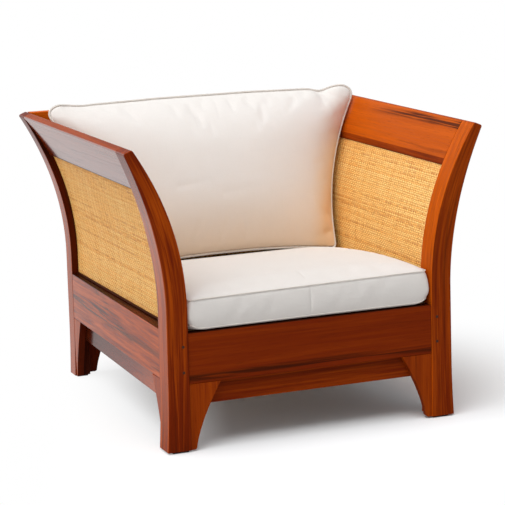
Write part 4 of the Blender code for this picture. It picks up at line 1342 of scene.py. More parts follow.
@dataclass
class CaneWork:
    """The three woven panels, each of strands that pass over and under each other, on a dark sheet that
    paints the shade in the gaps between them.
    """

    sizes: ChairSizes
    cane: Material
    upright_cane: Material
    backing: Material
    row_pitch: float = 0.0056
    post_pitch: float = 0.0070
    row_width: float = 0.0053
    post_width: float = 0.0036
    thickness: float = 0.0011
    wave: float = 0.0005
    bury: float = 0.003
    backing_half: float = 0.00015
    seed: int = 7

    def strands(self, name: str, length: float, crossing: float, count: int, pitch: float, width: float,
                phase: int) -> Piece:
        """Weave one set of strands flat: X along them, Y across the set, Z through the sheet.

        Args:
            name: Name of the new piece.
            length: Length of each strand.
            crossing: Distance between the strands that it crosses.
            count: How many strands lie side by side.
            pitch: Distance between them.
            width: Width of each strand.
            phase: 0 or 1, whether the first crossing is over or under.

        Returns:
            The flat set.
        """
        piece = add_block(name, (0.0, -1.0, -1.0), (length, 1.0, 1.0))
        slice_block(piece, 0, [crossing * (index + 0.5) for index in range(int(length / crossing))])
        per_strand = len(piece.data.vertices)
        apply_modifier(piece, "ARRAY", count=count, use_relative_offset=False, use_constant_offset=True,
                       constant_offset_displace=(0.0, 10.0, 0.0))
        points = get_points(piece)
        number = np.arange(len(points)) // per_strand
        across, through = points[:, 1] - 10.0 * number, points[:, 2]
        step = np.floor(points[:, 0] / crossing - 0.25).astype(int)
        chance = np.random.default_rng(self.seed + phase + count)
        shift = chance.uniform(-0.00035, 0.00035, count)[number]
        spread = chance.uniform(0.84, 1.06, count)[number]
        tone = chance.uniform(0.0, 1.0, count)[number]
        start = chance.uniform(0.0, 40.0, count)[number]
        bow = 0.0005 * np.sin(points[:, 0] * 9.0 + start) + 0.0003 * np.sin(points[:, 0] * 31.0 + 3 * start)
        over = np.where((step + number + phase) % 2 == 0, 1.0, -1.0)
        flat = np.empty_like(points)
        flat[:, 0] = points[:, 0]
        flat[:, 1] = pitch * (number + 0.5) + shift + bow + (across + through) / 2 * width / 2 * spread
        flat[:, 2] = self.wave * over + (through - across) / 2 * self.thickness / 2
        set_points(piece, flat)
        columns = (points[:, 0] + start, tone, number * 1.0)
        store(piece, "strand", np.stack(columns, axis=1))
        return piece

    def weave(self, label: str, width: float, height: float, lay: Callable[[Array, Array, Array], Array],
              is_trimmed: bool) -> None:
        """Weave a panel's rows and uprights and dress them.

        Args:
            label: Which panel it is.
            width: Length of its rows.
            height: Length of its uprights.
            lay: Turns places along, up and through the flat sheet into places on the chair.
            is_trimmed: Whether the strands are cut off inside the rear posts.
        """
        rows, posts = int(height / self.row_pitch), int(width / self.post_pitch)
        weft = self.strands(f"{label}_cane_rows", width, self.post_pitch, rows, height / rows,
                            self.row_width, 0)
        warp = self.strands(f"{label}_cane_uprights", height, height / rows, posts, width / posts,
                            self.post_width, 1)
        for piece, axes, cane, nodes in ((weft, [0, 1, 2], self.cane, [f"{label}_cane_panel"]),
                                         (warp, [1, 0, 2], self.upright_cane, [])):
            set_points(piece, lay(*get_points(piece)[:, axes].T))
            if is_trimmed:
                self.trim(piece)
            mend_normals(piece)
            make_active(piece)
            bpy.ops.object.shade_smooth()
            dress(piece, cane, "cane", "frame", *nodes)

    def side_panel(self, side: Side) -> None:
        """Weave a side panel that curves with the arm.

        Args:
            side: The side of the chair.
        """
        s = self.sizes
        low = s.sill_top - self.bury
        high = s.arm_rail_bottom + self.bury
        near, far = s.front_post_back - self.bury, s.rear_post_front + self.bury
        z = np.linspace(low, high, 400)
        x = s.arm_inner(z) + s.cane_inset
        rise = np.concatenate(([0.0], np.cumsum(np.hypot(np.diff(x), np.diff(z)))))
        slope = np.gradient(x, z)

        def lay(along: Array, up: Array, through: Array) -> Array:
            """Lay flat places on the curved sheet."""
            height = np.interp(up, rise, z)
            lean = np.interp(height, z, slope)
            size = np.sqrt(1 + lean ** 2)
            out = np.interp(height, z, x) + through / size
            return np.stack((side.value * out, near + along, height - through * lean / size), axis=1)

        # A sheet behind the strands; its dark colour paints the shade in the gaps.
        gap_shade_sheet = add_block(f"{side.label}_cane_backing", (0.0, 0.0, -self.backing_half),
                           (far - near, float(rise[-1]), self.backing_half))
        slice_block(gap_shade_sheet, 1, np.linspace(0.0, rise[-1], 28)[1:-1])
        flat = get_points(gap_shade_sheet)
        set_points(gap_shade_sheet, lay(flat[:, 0], flat[:, 1], flat[:, 2]))
        mend_normals(gap_shade_sheet)
        smooth(gap_shade_sheet)
        dress(gap_shade_sheet, self.backing, "cane", "frame")
        self.weave(side.label, far - near, float(rise[-1]), lay, False)

    def trim(self, piece: Piece) -> None:
        """Cut the ends of the back panel's strands off inside the rear posts.

        Args:
            piece: The laid set of strands.
        """
        s = self.sizes
        points = get_points(piece)
        outside = np.abs(points[:, 0]) > s.rear_inner(points[:, 2]) + 2.5 * self.bury
        make_active(piece)
        piece.data.vertices.foreach_set("select", outside)
        bpy.ops.object.mode_set(mode="EDIT")
        bpy.ops.mesh.select_mode(type="VERT")
        bpy.ops.mesh.delete(type="VERT")
        bpy.ops.mesh.select_all(action="SELECT")
        bpy.ops.mesh.fill_holes(sides=4)
        bpy.ops.object.mode_set(mode="OBJECT")

    def back_panel(self) -> None:
        """Weave the flat back panel between the swept rear posts."""
        s = self.sizes
        low = s.sill_top - self.bury
        high = s.back_rail_bottom + self.bury
        reach = float(s.rear_inner(np.array(high))) + 3 * self.bury
        # A sheet behind the strands; its dark colour paints the shade in the gaps.
        gap_shade_sheet = add_block("back_cane_backing", (-1.0, s.rear_post_mid - self.backing_half, low),
                           (1.0, s.rear_post_mid + self.backing_half, high))
        slice_block(gap_shade_sheet, 2, np.linspace(low, high, 28)[1:-1])
        flat = get_points(gap_shade_sheet)
        flat[:, 0] *= s.rear_inner(flat[:, 2]) + self.bury
        set_points(gap_shade_sheet, flat)
        dress(gap_shade_sheet, self.backing, "cane", "frame")

        def lay(along: Array, up: Array, through: Array) -> Array:
            """Stand flat places up between the rear posts."""
            return np.stack((along - reach, s.rear_post_mid + through, low + up), axis=1)

        self.weave("back", 2 * reach, high - low, lay, True)

    def build(self) -> None:
        """Weave the three panels."""
        for side in Side:
            self.side_panel(side)
        self.back_panel()


# Linen cushions

def cloth_group() -> NodeTree:
    """Build the linen weave: threads both ways, slubs along them and a soft mottle.

    Returns:
        A group that reads places on the cloth in metres.
    """
    bench, cloth, target = new_group("Linen weave", "Cloth", ("Thread", "Slub", "Mottle"))
    threads = []
    for direction in ("X", "Y"):
        wave = bench.add("TexWave", wave_type="BANDS", bands_direction=direction)
        bench.feed(wave, {"Vector": cloth})
        wave.inputs["Scale"].default_value = 240.0
        wave.inputs["Distortion"].default_value = 1.2
        wave.inputs["Detail"].default_value = 1.0
        threads.append(wave.outputs["Fac"])
    bench.feed(target, {"Thread": bench.times(bench.math("ADD", *threads), 0.5)})
    across = bench.noise(cloth, (14.0, 260.0, 1.0), 3.0)
    along = bench.noise(cloth, (260.0, 14.0, 1.0), 3.0, offset=(4.0, 9.0, 0.0))
    slub = bench.math("MAXIMUM", bench.ramp(across, 0.52, 0.74), bench.ramp(along, 0.52, 0.74))
    bench.feed(target, {"Slub": slub})
    bench.feed(target, {"Mottle": bench.noise(cloth, 18.0, 3.0)})
    return bench.tree


@dataclass(frozen=True)
class LinenFinish:
    """Off-white linen with a visible thread, tinted warm by painted bounce light where a piece stores it."""

    name: str
    pale: Triple
    shade: Triple
    thread: float
    # The tint of the painted bounce light from the orange wood and cane.
    ecru: Triple = (1.0, 0.76, 0.51)

    def build(self, group: NodeTree) -> Material:
        """Make the material.

        Args:
            group: The shared linen weave.

        Returns:
            The material.
        """
        material, bench, shader = new_material(self.name)
        cloth = bench.add("UVMap", uv_map="cloth")
        weave = bench.add("Group", node_tree=group)
        bench.feed(weave, {"Cloth": cloth.outputs["UV"]})
        colour = bench.mix(bench.ramp(weave.outputs["Thread"], 0.1, 0.8), self.shade, self.pale)
        colour = bench.mix(bench.times(weave.outputs["Slub"], 0.30), colour, self.shade)
        colour = bench.mix(bench.ramp(weave.outputs["Mottle"], 0.35, 0.75, 0.0, 0.25), colour, self.shade)
        # Painted bounce light: the stored share multiplies the cloth by the orange tint.
        warmth = bench.add("Attribute", attribute_name="warmth").outputs["Fac"]
        colour = bench.mix(warmth, colour, self.ecru, "MULTIPLY")
        bench.feed(shader, {"Base Color": colour})
        bench.feed(shader, {"Roughness": bench.line(weave.outputs["Thread"], -0.12, 0.95)})
        relief = bench.math("ADD", weave.outputs["Thread"], weave.outputs["Slub"])
        bench.feed(shader, {"Normal": bench.bump(relief, self.thread, 0.0004)})
        shader.inputs["Specular IOR Level"].default_value = 0.05
        shader.inputs["Sheen Weight"].default_value = 0.05
        shader.inputs["Sheen Roughness"].default_value = 0.5
        return material


def project_cloth(piece: Piece) -> None:
    """Give a soft piece a cloth map in metres, laid on by the main direction of each face.

    Args:
        piece: The piece.
    """
    mesh = piece.data
    layer = mesh.uv_layers.new(name="cloth")
    corners = np.empty(len(mesh.loops), dtype=np.int32)
    mesh.loops.foreach_get("vertex_index", corners)
    normals = np.empty(len(mesh.polygons) * 3)
    mesh.polygons.foreach_get("normal", normals)
    sizes = np.empty(len(mesh.polygons), dtype=np.int32)
    mesh.polygons.foreach_get("loop_total", sizes)
    main_axis = np.repeat(np.argmax(np.abs(normals.reshape(-1, 3)), axis=1), sizes)
    places = get_points(piece)[corners]
    flat = np.empty((len(corners), 2))
    flat[:, 0] = np.where(main_axis == 0, places[:, 1], places[:, 0])
    flat[:, 1] = np.where(main_axis == 2, places[:, 1], places[:, 2])
    layer.data.foreach_set("uv", flat.ravel())


def puff_up(piece: Piece, held: Array, pressure: float, cap: float, slack: float) -> None:
    """Fill a cushion by a cloth simulation and keep its result.

    Args:
        piece: The slightly small cushion.
        held: Tells for each vertex whether its seam holds it still.
        pressure: Pressure inside the cloth.
        cap: The furthest that a point may move.
        slack: Share by which the cloth is longer than the shape it starts from.
    """
    start = get_points(piece)
    make_active(piece)
    seams = piece.vertex_groups.new(name="seams")
    seams.add(np.nonzero(held)[0].tolist(), 1.0, "REPLACE")
    cloth = piece.modifiers.new("Filling", "CLOTH")
    settings = {"quality": 7, "mass": 0.25, "tension_stiffness": 18.0, "compression_stiffness": 18.0,
                "shear_stiffness": 6.0, "bending_stiffness": 0.8, "air_damping": 3.0, "use_pressure": True,
                "uniform_pressure_force": pressure, "shrink_min": -slack, "vertex_group_mass": seams.name}
    for key, value in settings.items():
        setattr(cloth.settings, key, value)
    cloth.settings.effector_weights.gravity = 0.0
    cloth.collision_settings.use_collision = False
    cloth.point_cache.frame_start = 1
    cloth.point_cache.frame_end = 20
    scene = bpy.context.scene
    for step in range(1, 21):
        scene.frame_set(step)
    bpy.ops.object.modifier_apply(modifier=cloth.name)
    scene.frame_set(1)
    piece.vertex_groups.clear()
    moved = get_points(piece) - start
    length = np.linalg.norm(moved, axis=1, keepdims=True)
    set_points(piece, start + moved * np.minimum(1.0, cap / np.maximum(length, 1e-9)))
    log.info("%s filled: moved up to %.1f mm", piece.name, 1000 * float(length.max()))


def refine(piece: Piece, levels: int = 1) -> None:
    """Subdivide a soft piece smoothly and keep the result."""
    apply_modifier(piece, "SUBSURF", levels=levels, render_levels=levels)
    bpy.ops.object.shade_smooth()


def sew_cord(name: str, path: Array, radius: float) -> Piece:
    """Make a closed piping cord along a path.

    Args:
        name: Name of the new piece.
        path: Points of the closed path.
        radius: Radius of the cord.

    Returns:
        The cord as a mesh.
    """
    clear_selection()
    curve = bpy.data.curves.new(name, "CURVE")
    curve.dimensions = "3D"
    spline = curve.splines.new("POLY")
    spline.points.add(len(path) - 1)
    spline.points.foreach_set("co", np.hstack((path, np.ones((len(path), 1)))).ravel())
    spline.use_cyclic_u = True
    curve.bevel_depth = radius
    curve.bevel_resolution = 2
    piece = bpy.data.objects.new(name, curve)
    bpy.context.scene.collection.objects.link(piece)
    make_active(piece)
    bpy.ops.object.convert(target="MESH")
    piece = bpy.context.object
    piece.data.name = name
    bpy.ops.object.shade_smooth()
    return piece


@dataclass
class SeatCushion:
    """The box cushion: a crowned top and flat underside with welted boxing between them."""

    sizes: ChairSizes
    linen: Material
    welt_linen: Material
    half_width: float = 0.3432
    front: float = -0.0320
    rear: float = 0.6800
    slope: float = math.radians(2.0)
    deck_z: float = 0.3115
    corner: float = 0.003
    corner_ease: float = 0.015
    corner_slack: float = 0.02
    corner_lift: float = 0.44
    slack_reach: float = 0.028
    lift_reach: float = 0.019
    under_round: float = 0.006
    seam_low: float = 0.0065
    seam_high: float = 0.0858
    crown: float = 0.0255
    tilt: float = 0.0045
    rear_press: float = 0.0240
    draw: float = 0.003
    seam_inset: float = 0.0045
    boxing_bulge: float = 0.0045
    boxing_levels: int = 6
    join_half: float = 0.0030
    join_depth: float = 0.0016
    welt_radius: float = 0.0014
    welt_proud: float = 1.0005
    cell: float = 0.0160
    side_limit: float = 0.3438
    seam_points: int = 720
    welt_spacing: float = 0.006
    rise_power: float = 0.66
    bulge_power: float = 0.7
    press_from: float = -0.45
    press_span: float = 1.03
    press_power: float = 1.6
    pressure: float = 1.5
    swell_cap: float = 0.004
    slack: float = 0.005
    fill: float = 0.75
    def to_world(self, places: Array) -> Array:
        """Turn places on the sloping deck into the chair's frame."""
        s = self.sizes
        return tip_back(places, self.slope, s.front_y + s.rail_setback + s.rail_thickness, self.deck_z)

    def plan(self, across: Array, along: Array, inset: Array,
             corner: Array) -> tuple[Array, Array]:
        """Return the plan of the cushion, with round corners and sides drawn in between them.

        Args:
            across: -1 to 1 from side to side.
            along: -1 to 1 from front to rear.
            inset: Distance inside the outline.
            corner: Radius of the corners.

        Returns:
            x and y on the deck.
        """
        half_x = self.half_width - inset
        half_y = (self.rear - self.front) / 2 - inset
        x, y = across * half_x, along * half_y
        core_x, core_y = half_x - corner, half_y - corner
        over_x, over_y = np.clip(np.abs(x) - core_x, 0, None), np.clip(np.abs(y) - core_y, 0, None)
        size = np.maximum(np.hypot(over_x, over_y), 1e-9)
        pull = np.where((over_x > 0) & (over_y > 0), np.maximum(over_x, over_y) / size, 1.0)
        x = np.sign(x) * (np.minimum(np.abs(x), core_x) + over_x * pull)
        y = np.sign(y) * (np.minimum(np.abs(y), core_y) + over_y * pull)
        x -= self.draw * np.clip(1 - along ** 2, 0, None) * across
        y -= self.draw * np.clip(1 - across ** 2, 0, None) * along
        return x, (self.front + self.rear) / 2 + y

    def shape(self, across: Array, along: Array, height: Array) -> Array:
        """Lay the cushion's grid out on the deck, without the crown.

        Args:
            across: -1 to 1 from side to side.
            along: -1 to 1 from front to rear.
            height: Height above the deck, up to the top seam.

        Returns:
            Rows of x, y and z on the deck.
        """
        share = unit((height - self.seam_low) / (self.seam_high - self.seam_low))
        under = unit(1 - height / self.seam_low)
        rise = share ** self.rise_power
        bulge = self.boxing_bulge * unit(np.sin(math.pi * rise)) ** self.bulge_power
        corner = self.corner + self.corner_ease * (2 * rise - 1) ** 2
        x, y = self.plan(across, along, self.seam_inset - bulge + self.under_round * under ** 2, corner)
        pressed = np.clip(along - self.press_from, 0.0, None) / self.press_span
        sunk = self.rear_press * pressed ** self.press_power
        lean = self.tilt * across * (1 - along) / 2 - sunk
        z = height + lean * height / self.seam_high
        apart = (self.half_width - np.abs(x)) ** 2 + (y - self.front) ** 2
        middle = self.seam_high / 2
        slack = np.where(z > middle, self.corner_slack, self.corner_lift)
        reach = np.where(z > middle, self.slack_reach, self.lift_reach)
        z = middle + (z - middle) * (1 - slack * np.exp(-apart / reach ** 2))
        return np.stack((x, y, z), axis=1)

    def seam_path(self, height: float) -> Array:
        """Work out the closed line of a seam.

        Args:
            height: Its height above the deck.

        Returns:
            Rows of x, y and z in the chair's frame.
        """
        across, along = round_edge(self.seam_points)
        level = np.full_like(across, height)
        places = self.shape(self.welt_proud * across, self.welt_proud * along, level)
        return resample(self.to_world(places), self.welt_spacing)

    def build(self) -> None:
        """Make the cushion and its two welts."""
        piece = add_block("seat_cushion_cover", (-1.0, -1.0, 0.0), (1.0, 1.0, self.seam_high))
        columns, rows = 2 * int(self.half_width / self.cell), int((self.rear - self.front) / self.cell)
        slice_block(piece, 0, np.linspace(-1, 1, columns + 1)[1:-1])
        slice_block(piece, 0, [side.value * self.join_half / self.half_width for side in Side])
        slice_block(piece, 1, np.linspace(-1, 1, rows + 1)[1:-1])
        levels = np.linspace(self.seam_low, self.seam_high, self.boxing_levels)[:-1]
        slice_block(piece, 2, (self.seam_low / 2, *levels))
        across, along, height = get_points(piece).T
        on_side = np.maximum(np.abs(across), np.abs(along)) > 0.999
        is_top = height > self.seam_high - 1e-5
        places = self.shape(across, along, height)
        dome = unit(1 - across ** 6) ** 0.36 * unit(1 - along ** 4) ** 0.5
        places[:, 2] += np.where(is_top, self.crown * dome, 0.0) + self.sizes.gap
        on_join = (np.abs(across) < 1e-4) & (along < -0.999) & ~is_top & (height > self.seam_low)
        places[:, 1] += self.join_depth * on_join
        set_points(piece, self.to_world(places))
        held = (on_side & is_top) | (height < self.seam_low + 1e-5) | on_join
        mend_normals(piece)
        project_cloth(piece)
        puff_up(piece, held, self.pressure, self.swell_cap, self.slack)
        refine(piece, 2)
        points = get_points(piece)
        points[:, 0] = np.clip(points[:, 0], -self.side_limit, self.side_limit)
        set_points(piece, points)
        dress(piece, self.linen, "linen", "seat_cushion", "seat_cushion")
        for label, height in (("top", self.seam_high), ("bottom", self.seam_low)):
            welt = sew_cord(f"seat_cushion_{label}_welt", self.seam_path(height), self.welt_radius)
            project_cloth(welt)
            dress(welt, self.welt_linen, "linen", "seat_cushion")


@dataclass(frozen=True)
class Crease:
    """A soft crease between two places on a cushion, deepest at its start."""

    start: Pair
    end: Pair
    depth: float
    width: float

    def depth_at(self, across: Array, up: Array) -> Array:
        """Return how deep the cloth is pressed at places on the cushion."""
        run = np.subtract(self.end, self.start)
        away = np.stack((across - self.start[0], up - self.start[1]), axis=1)
        share = away @ run / (run @ run)
        aside = np.linalg.norm(away - unit(share)[:, None] * run, axis=1)
        fade = unit(1 - share) ** 0.7 * unit(1 + 4 * share)
        return self.depth * fade * np.exp(-(aside / self.width) ** 2)


@dataclass
class BackCushion:
    """The pillow: two bulging sheets sewn to a piping cord, with pulled ears at its corners."""

    sizes: ChairSizes
    linen: Material
    welt_linen: Material
    rest_y: float = 0.2647
    rest_face: float = 0.0126
    start: float = 0.0430
    height: float = 0.4493
    front_bulge: float = 0.085
    rear_bulge: float = 0.147
    side_room: float = 0.011
    side_draw: float = 0.003
    ear_pull: float = 0.004
    bottom_drop: float = 0.0050
    bottom_droops: Pair = (0.0180, 0.0205)
    dips: Pair = (0.002, 0.0080)
    edge_power: float = 2.4
    fullness: float = 0.62
    edge_half: float = 0.003
    cord_radius: float = 0.0034
    cord_out: float = 0.0025
    columns: int = 72
    rows: int = 40
    cord_points: int = 800
    cord_spacing: float = 0.005
    cord_rounds: int = 4
    pressure: float = 3.0
    swell_cap: float = 0.012
    slack: float = 0.006
    # How strongly painted bounce light tints the sides, left and right, and the bottom.
    side_warmth: Pair = (0.45, 1.15)
    foot_warmth: float = 0.62
    fill: float = 0.7
    creases: tuple[Crease, ...] = (
        Crease((0.358, 0.480), (0.404, 0.405), 0.0042, 0.011),
        Crease((0.350, 0.480), (0.362, 0.395), 0.0030, 0.010),
        Crease((0.372, 0.476), (0.438, 0.440), 0.0040, 0.010),
        Crease((0.335, 0.100), (0.270, 0.140), 0.0030, 0.011),
        Crease((0.320, 0.062), (0.255, 0.052), 0.0034, 0.009),
        Crease((-0.420, 0.490), (-0.372, 0.415), 0.0045, 0.012),
        Crease((-0.150, 0.218), (-0.050, 0.228), 0.0014, 0.010),
        Crease((-0.020, 0.188), (0.120, 0.205), 0.0012, 0.012),
        Crease((0.020, 0.470), (0.010, 0.400), 0.0012, 0.007),
        Crease((0.060, 0.470), (0.062, 0.410), 0.0010, 0.007),
    )

    @property
    def plane(self) -> float:
        """The distance from the back rest's face line to the piping."""
        return self.rest_face + self.rear_bulge + self.edge_half

    def to_world(self, places: Array) -> Array:
        """Turn places on the raked back rest into the chair's frame."""
        return tip_back(places, self.sizes.back_rake, self.rest_y, self.sizes.rest_foot_top)

    def outline(self, across: Array, share: Array) -> tuple[Array, Array]:
        """Return a place on the pillow's flat pattern.

        Args:
            across: -1 to 1 from side to side.
            share: 0 at the bottom to 1 at the top.

        Returns:
            The distance from the middle and the distance up the slope.
        """
        s = self.sizes
        rise = 2 * share - 1
        side = np.abs(across)
        dip = np.where(across < 0, *self.dips)
        top = 0.004 * np.exp(-((side - 0.93) / 0.06) ** 2) - dip * np.exp(-((side - 0.785) / 0.055) ** 2)
        top = top - 0.0034 * unit((side - 0.3) / 0.35) - 0.011 * unit((side - 0.94) / 0.06) ** 2
        droop = self.bottom_drop + np.where(across < 0, *self.bottom_droops) * side ** 2.4
        bottom = 0.005 * unit((side - 0.95) / 0.05) ** 2 - droop
        up = self.start + self.height * share + np.where(rise > 0, top, bottom) * np.abs(rise) ** 3
        z = s.rest_foot_top + self.plane * math.sin(s.back_rake) + up * math.cos(s.back_rake)
        half = s.arm_inner(np.minimum(z, s.arm_height)) - self.side_room - self.side_draw * (1 - rise ** 2)
        half = half - np.where(rise > 0, self.ear_pull * rise ** 2, 0.0)
        return across * half, up

    def slope_places(self, piece: Piece) -> tuple[Array, Array, Array]:
        """Return each vertex's distance from the middle, up the slope and in front of the piping's plane."""
        s = self.sizes
        x, away, up = tip_back(get_points(piece) - (0.0, self.rest_y, s.rest_foot_top), -s.back_rake).T
        return x, up, -self.plane - away

    def crease(self, piece: Piece) -> None:
        """Press the creases into the front of the pillow.

        Args:
            piece: The pillow.
        """
        s = self.sizes
        x, up, ahead = self.slope_places(piece)
        depth = np.zeros_like(x)
        for line in self.creases:
            depth += line.depth_at(x, up)
        depth = depth * unit(ahead / 0.008)
        points = get_points(piece)
        points[:, 1] += depth * math.cos(s.back_rake)
        points[:, 2] -= depth * math.sin(s.back_rake)
        set_points(piece, points)

    def warm(self, piece: Piece) -> None:
        """Store where painted bounce light tints the linen warm: at the sides beside the arms and along the
        bottom.

        Args:
            piece: The pillow.
        """
        s = self.sizes
        x, up, _ = self.slope_places(piece)
        z = get_points(piece)[:, 2]
        half = s.arm_inner(np.minimum(z, s.arm_height)) - self.side_room
        fade = unit(1.25 * (1 - (up - self.start) / self.height))
        beside = unit((np.abs(x) / half - 0.72) / 0.28) ** 1.5 * fade * np.where(x < 0, *self.side_warmth)
        below = unit(1 - (up - self.start) / (0.42 * self.height)) ** 1.3
        store(piece, "warmth", unit(beside + self.foot_warmth * below))

    def build(self) -> None:
        """Make the pillow and its piping."""
        piece = add_block("back_cushion_cover", (-1.0, -1.0, 0.0), (1.0, 1.0, 1.0))
        slice_block(piece, 0, np.linspace(-1, 1, self.columns + 1)[1:-1])
        slice_block(piece, 2, np.linspace(0, 1, self.rows + 1)[1:-1])
        grid = get_points(piece)
        across, face, share = grid[:, 0], grid[:, 1], grid[:, 2]
        x, up = self.outline(across, share)
        rise = 2 * share - 1
        fade = (1 - np.abs(across) ** self.edge_power) * (1 - np.abs(rise) ** self.edge_power)
        swell = np.where(face < 0, -self.front_bulge, self.rear_bulge) * unit(fade) ** self.fullness
        depth = -self.plane + np.sign(face) * self.edge_half + swell
        set_points(piece, self.to_world(np.stack((x, depth, up), axis=1)))
        held = fade < 1e-6
        mend_normals(piece)
        project_cloth(piece)
        puff_up(piece, held, self.pressure, self.swell_cap, self.slack)
        refine(piece, 2)
        self.crease(piece)
        self.warm(piece)
        dress(piece, self.linen, "linen", "back_cushion", "back_cushion")
        across, rise = round_edge(self.cord_points)
        x, up = self.outline(across, (rise + 1) / 2)
        middle_up = self.start + self.height / 2
        x = x + self.cord_out * np.sign(x) * (np.abs(x) / np.abs(x).max()) ** 8
        up = up + self.cord_out * np.sign(up - middle_up) * (np.abs(up - middle_up) / (self.height / 2)) ** 8
        path = self.to_world(np.stack((x, np.full_like(x, -self.plane), up), axis=1))
        path = soften(resample(path, self.cord_spacing), self.cord_rounds)
        cord = sew_cord("back_cushion_piping", path, self.cord_radius)
        project_cloth(cord)
        dress(cord, self.welt_linen, "linen", "back_cushion")


# Studio

@dataclass(frozen=True)
class Viewpoint:
    """The camera that matches the photograph."""

    yaw: float = 22.09
    pitch: float = 10.95
    roll: float = -1.53
    place: Triple = (-2.082, -5.192, 1.489)
    focal_pixels: float = 2045.3
    image_pixels: float = 505.0
    sensor: float = 36.0

    def build(self) -> None:
        """Set the camera up."""
        yaw, pitch, roll = (math.radians(angle) for angle in (self.yaw, self.pitch, self.roll))
        ahead = Vector((math.sin(yaw) * math.cos(pitch), math.cos(yaw) * math.cos(pitch), -math.sin(pitch)))
        right = Vector((math.cos(yaw), -math.sin(yaw), 0.0))
        above = right.cross(ahead)
        turned_right = math.cos(roll) * right + math.sin(roll) * above
        turned_above = -math.sin(roll) * right + math.cos(roll) * above
        data = bpy.data.cameras.new("photo_camera")
        data.sensor_width = self.sensor
        data.lens = self.focal_pixels / self.image_pixels * self.sensor
        camera = bpy.data.objects.new("photo_camera", data)
        bpy.context.scene.collection.objects.link(camera)
        turn = Matrix((turned_right, turned_above, -ahead)).transposed().to_4x4()
        camera.matrix_world = Matrix.Translation(self.place) @ turn
        bpy.context.scene.camera = camera


@dataclass(frozen=True)
class Studio:
    """A pale floor that fades to white, one broad lamp from the upper left and a soft surround."""

    lamp_from: Triple = (-0.30, -0.20, 0.93)
    lamp_strength: float = 2.45
    lamp_angle: float = 55.0
    fill_from: Triple = (-0.95, -0.15, 0.20)
    fill_strength: float = 1.0
    fill_angle: float = 80.0
    rim_from: Triple = (-0.45, 0.85, 0.22)
    rim_strength: float = 0.45
    rim_angle: float = 60.0
    surround: float = 0.34
    floor_size: float = 24.0
    floor_colour: Triple = (0.955, 0.975, 0.985)
    bounce_colour: Triple = (0.62, 0.61, 0.60)
    shadow_lift: float = 0.015

    def floor(self) -> None:
        """Lay the floor, with a material that turns white away from the chair and, with painted light, over
        the chair's shadow on its left.
        """
        clear_selection()
        bpy.ops.mesh.primitive_plane_add(size=self.floor_size, location=(0.0, 0.0, 0.0))
        floor = bpy.context.object
        floor.name = "studio_floor"
        material, bench, shader = new_material("Pale floor")
        shader.inputs["Roughness"].default_value = 0.9
        shader.inputs["Specular IOR Level"].default_value = 0.0
        place = bench.add("TexCoord").outputs["Object"]
        mottle = bench.noise(place, 3.0, 2.0)
        path = bench.add("LightPath")
        surface = bench.mix(mottle, tuple(0.98 * channel for channel in self.floor_colour), self.floor_colour)
        surface = bench.mix(path.outputs["Is Camera Ray"], self.bounce_colour, surface)
        bench.feed(shader, {"Base Color": surface})
        length = bench.add("VectorMath", operation="LENGTH")
        bench.feed(length, {0: place})
        away = bench.ramp(length.outputs["Value"], 0.54, 1.25, self.shadow_lift, 1.0)
        split = bench.add("SeparateXYZ")
        bench.feed(split, {0: place})
        # Painted light: towards the left the floor turns white over the chair's shadow.
        aside = bench.math("SUBTRACT", bench.times(split.outputs[1], 0.35), split.outputs[0])
        away = bench.math("MAXIMUM", away, bench.ramp(aside, 0.02, 0.60))
        white = bench.add("Emission", {"Strength": 1.0}).outputs[0]
        bench.whiten(shader.outputs[0], white, "Material Output", away)
        floor.data.materials.append(material)

    def lamp(self, name: str, source: Triple, strength: float, angle: float) -> None:
        """Hang a lamp.

        Args:
            name: Name of the lamp.
            source: The direction that its light comes from.
            strength: Its strength.
            angle: How broad it is, in degrees.
        """
        lamp = bpy.data.lights.new(name, "SUN")
        lamp.energy = strength
        lamp.angle = math.radians(angle)
        holder = bpy.data.objects.new(name, lamp)
        bpy.context.scene.collection.objects.link(holder)
        holder.rotation_euler = Vector(source).to_track_quat("Z", "Y").to_euler()

    def lights(self) -> None:
        """Set the lamps and the surround."""
        self.lamp("broad_lamp", self.lamp_from, self.lamp_strength, self.lamp_angle)
        self.lamp("left_fill", self.fill_from, self.fill_strength, self.fill_angle)
        self.lamp("rear_rim", self.rim_from, self.rim_strength, self.rim_angle)
        world = bpy.data.worlds.new("Studio surround")
        world.use_nodes = True
        bpy.context.scene.world = world
        bench = NodeBench(world.node_tree)
        dim = world.node_tree.nodes["Background"]
        dim.inputs["Color"].default_value = (0.97, 0.98, 1.0, 1.0)
        dim.inputs["Strength"].default_value = self.surround
        bright = bench.add("Background", {"Color": (1.0, 1.0, 1.0, 1.0)})
        bench.whiten(dim.outputs[0], bright.outputs[0], "World Output")

    def build(self) -> None:
        """Set the floor, the light and the view transform."""
        self.floor()
        self.lights()
        bpy.context.scene.view_settings.view_transform = "Standard"


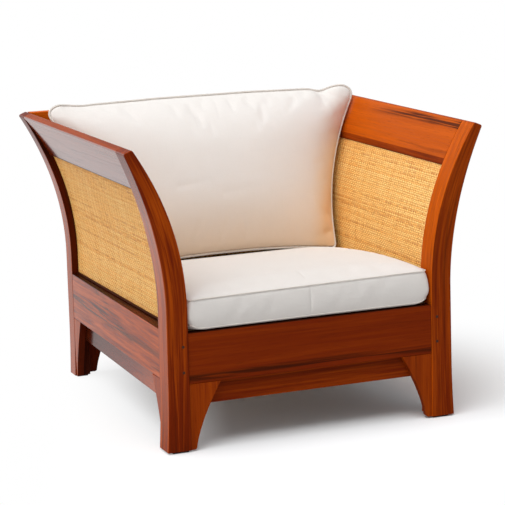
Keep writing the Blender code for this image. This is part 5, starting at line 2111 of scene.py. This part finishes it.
def main() -> None:
    """Dress the chair, light it and report each piece."""
    logging.basicConfig(level=logging.INFO, format="%(name)s: %(message)s")
    sizes = ChairSizes()
    figure = timber_group()
    weave = cloth_group()
    hardwood = TimberFinish("Red-brown hardwood", (0.66, 0.118, 0.004), (0.17, 0.017, 0.002),
                            (0.032, 0.006, 0.002), 0.26).build(figure)
    # The sills' near-black colour is partly a dark bead and partly painted shade on the ledge.
    shaded_sill_wood = TimberFinish("Sill hardwood with painted shade", (0.07, 0.011, 0.003), (0.035, 0.006, 0.002),
                             (0.012, 0.003, 0.002), 0.35).build(figure)
    slat_wood = TimberFinish("Plain slat wood", (0.62, 0.42, 0.24), (0.44, 0.27, 0.13),
                             (0.22, 0.12, 0.05), 0.55).build(figure)
    peg_wood = PlainFinish("Dark peg wood", (0.035, 0.012, 0.006), 0.45).build()
    glide = PlainFinish("Black glide", (0.012, 0.012, 0.012), 0.60).build()
    cane = CaneFinish("Split cane", (1.0, 0.66, 0.22), (0.98, 0.52, 0.12), (0.56, 0.20, 0.03), 0.45).build()
    upright_cane = CaneFinish("Split cane uprights", (1.0, 0.66, 0.23), (0.95, 0.52, 0.13),
                              (0.60, 0.24, 0.04), 0.30).build()
    # The sheet behind the cane is coloured as painted shade in the gaps between the strands.
    backing = PlainFinish("Cane backing", (0.46, 0.18, 0.04), 0.80).build()
    linen = LinenFinish("Off-white linen", (0.88, 0.85, 0.82), (0.82, 0.78, 0.74), 0.35).build(weave)
    seat_linen = LinenFinish("Off-white seat linen", (0.775, 0.745, 0.715),
                             (0.72, 0.685, 0.65), 0.35).build(weave)
    # The welts are darker than the linen by painted shade along the piping.
    welt_linen = LinenFinish("Off-white linen welt", (0.80, 0.76, 0.71),
                             (0.70, 0.65, 0.59), 0.45).build(weave)
    Viewpoint().build()
    Studio().build()
    Joinery(sizes, hardwood, shaded_sill_wood).build()
    Fastenings(sizes, peg_wood, glide).build()
    Slatting(sizes, slat_wood).build()
    CaneWork(sizes, cane, upright_cane, backing).build()
    SeatCushion(sizes, seat_linen, welt_linen).build()
    BackCushion(sizes, linen, welt_linen).build()
    clear_selection()


if __name__ == "__main__":
    main()
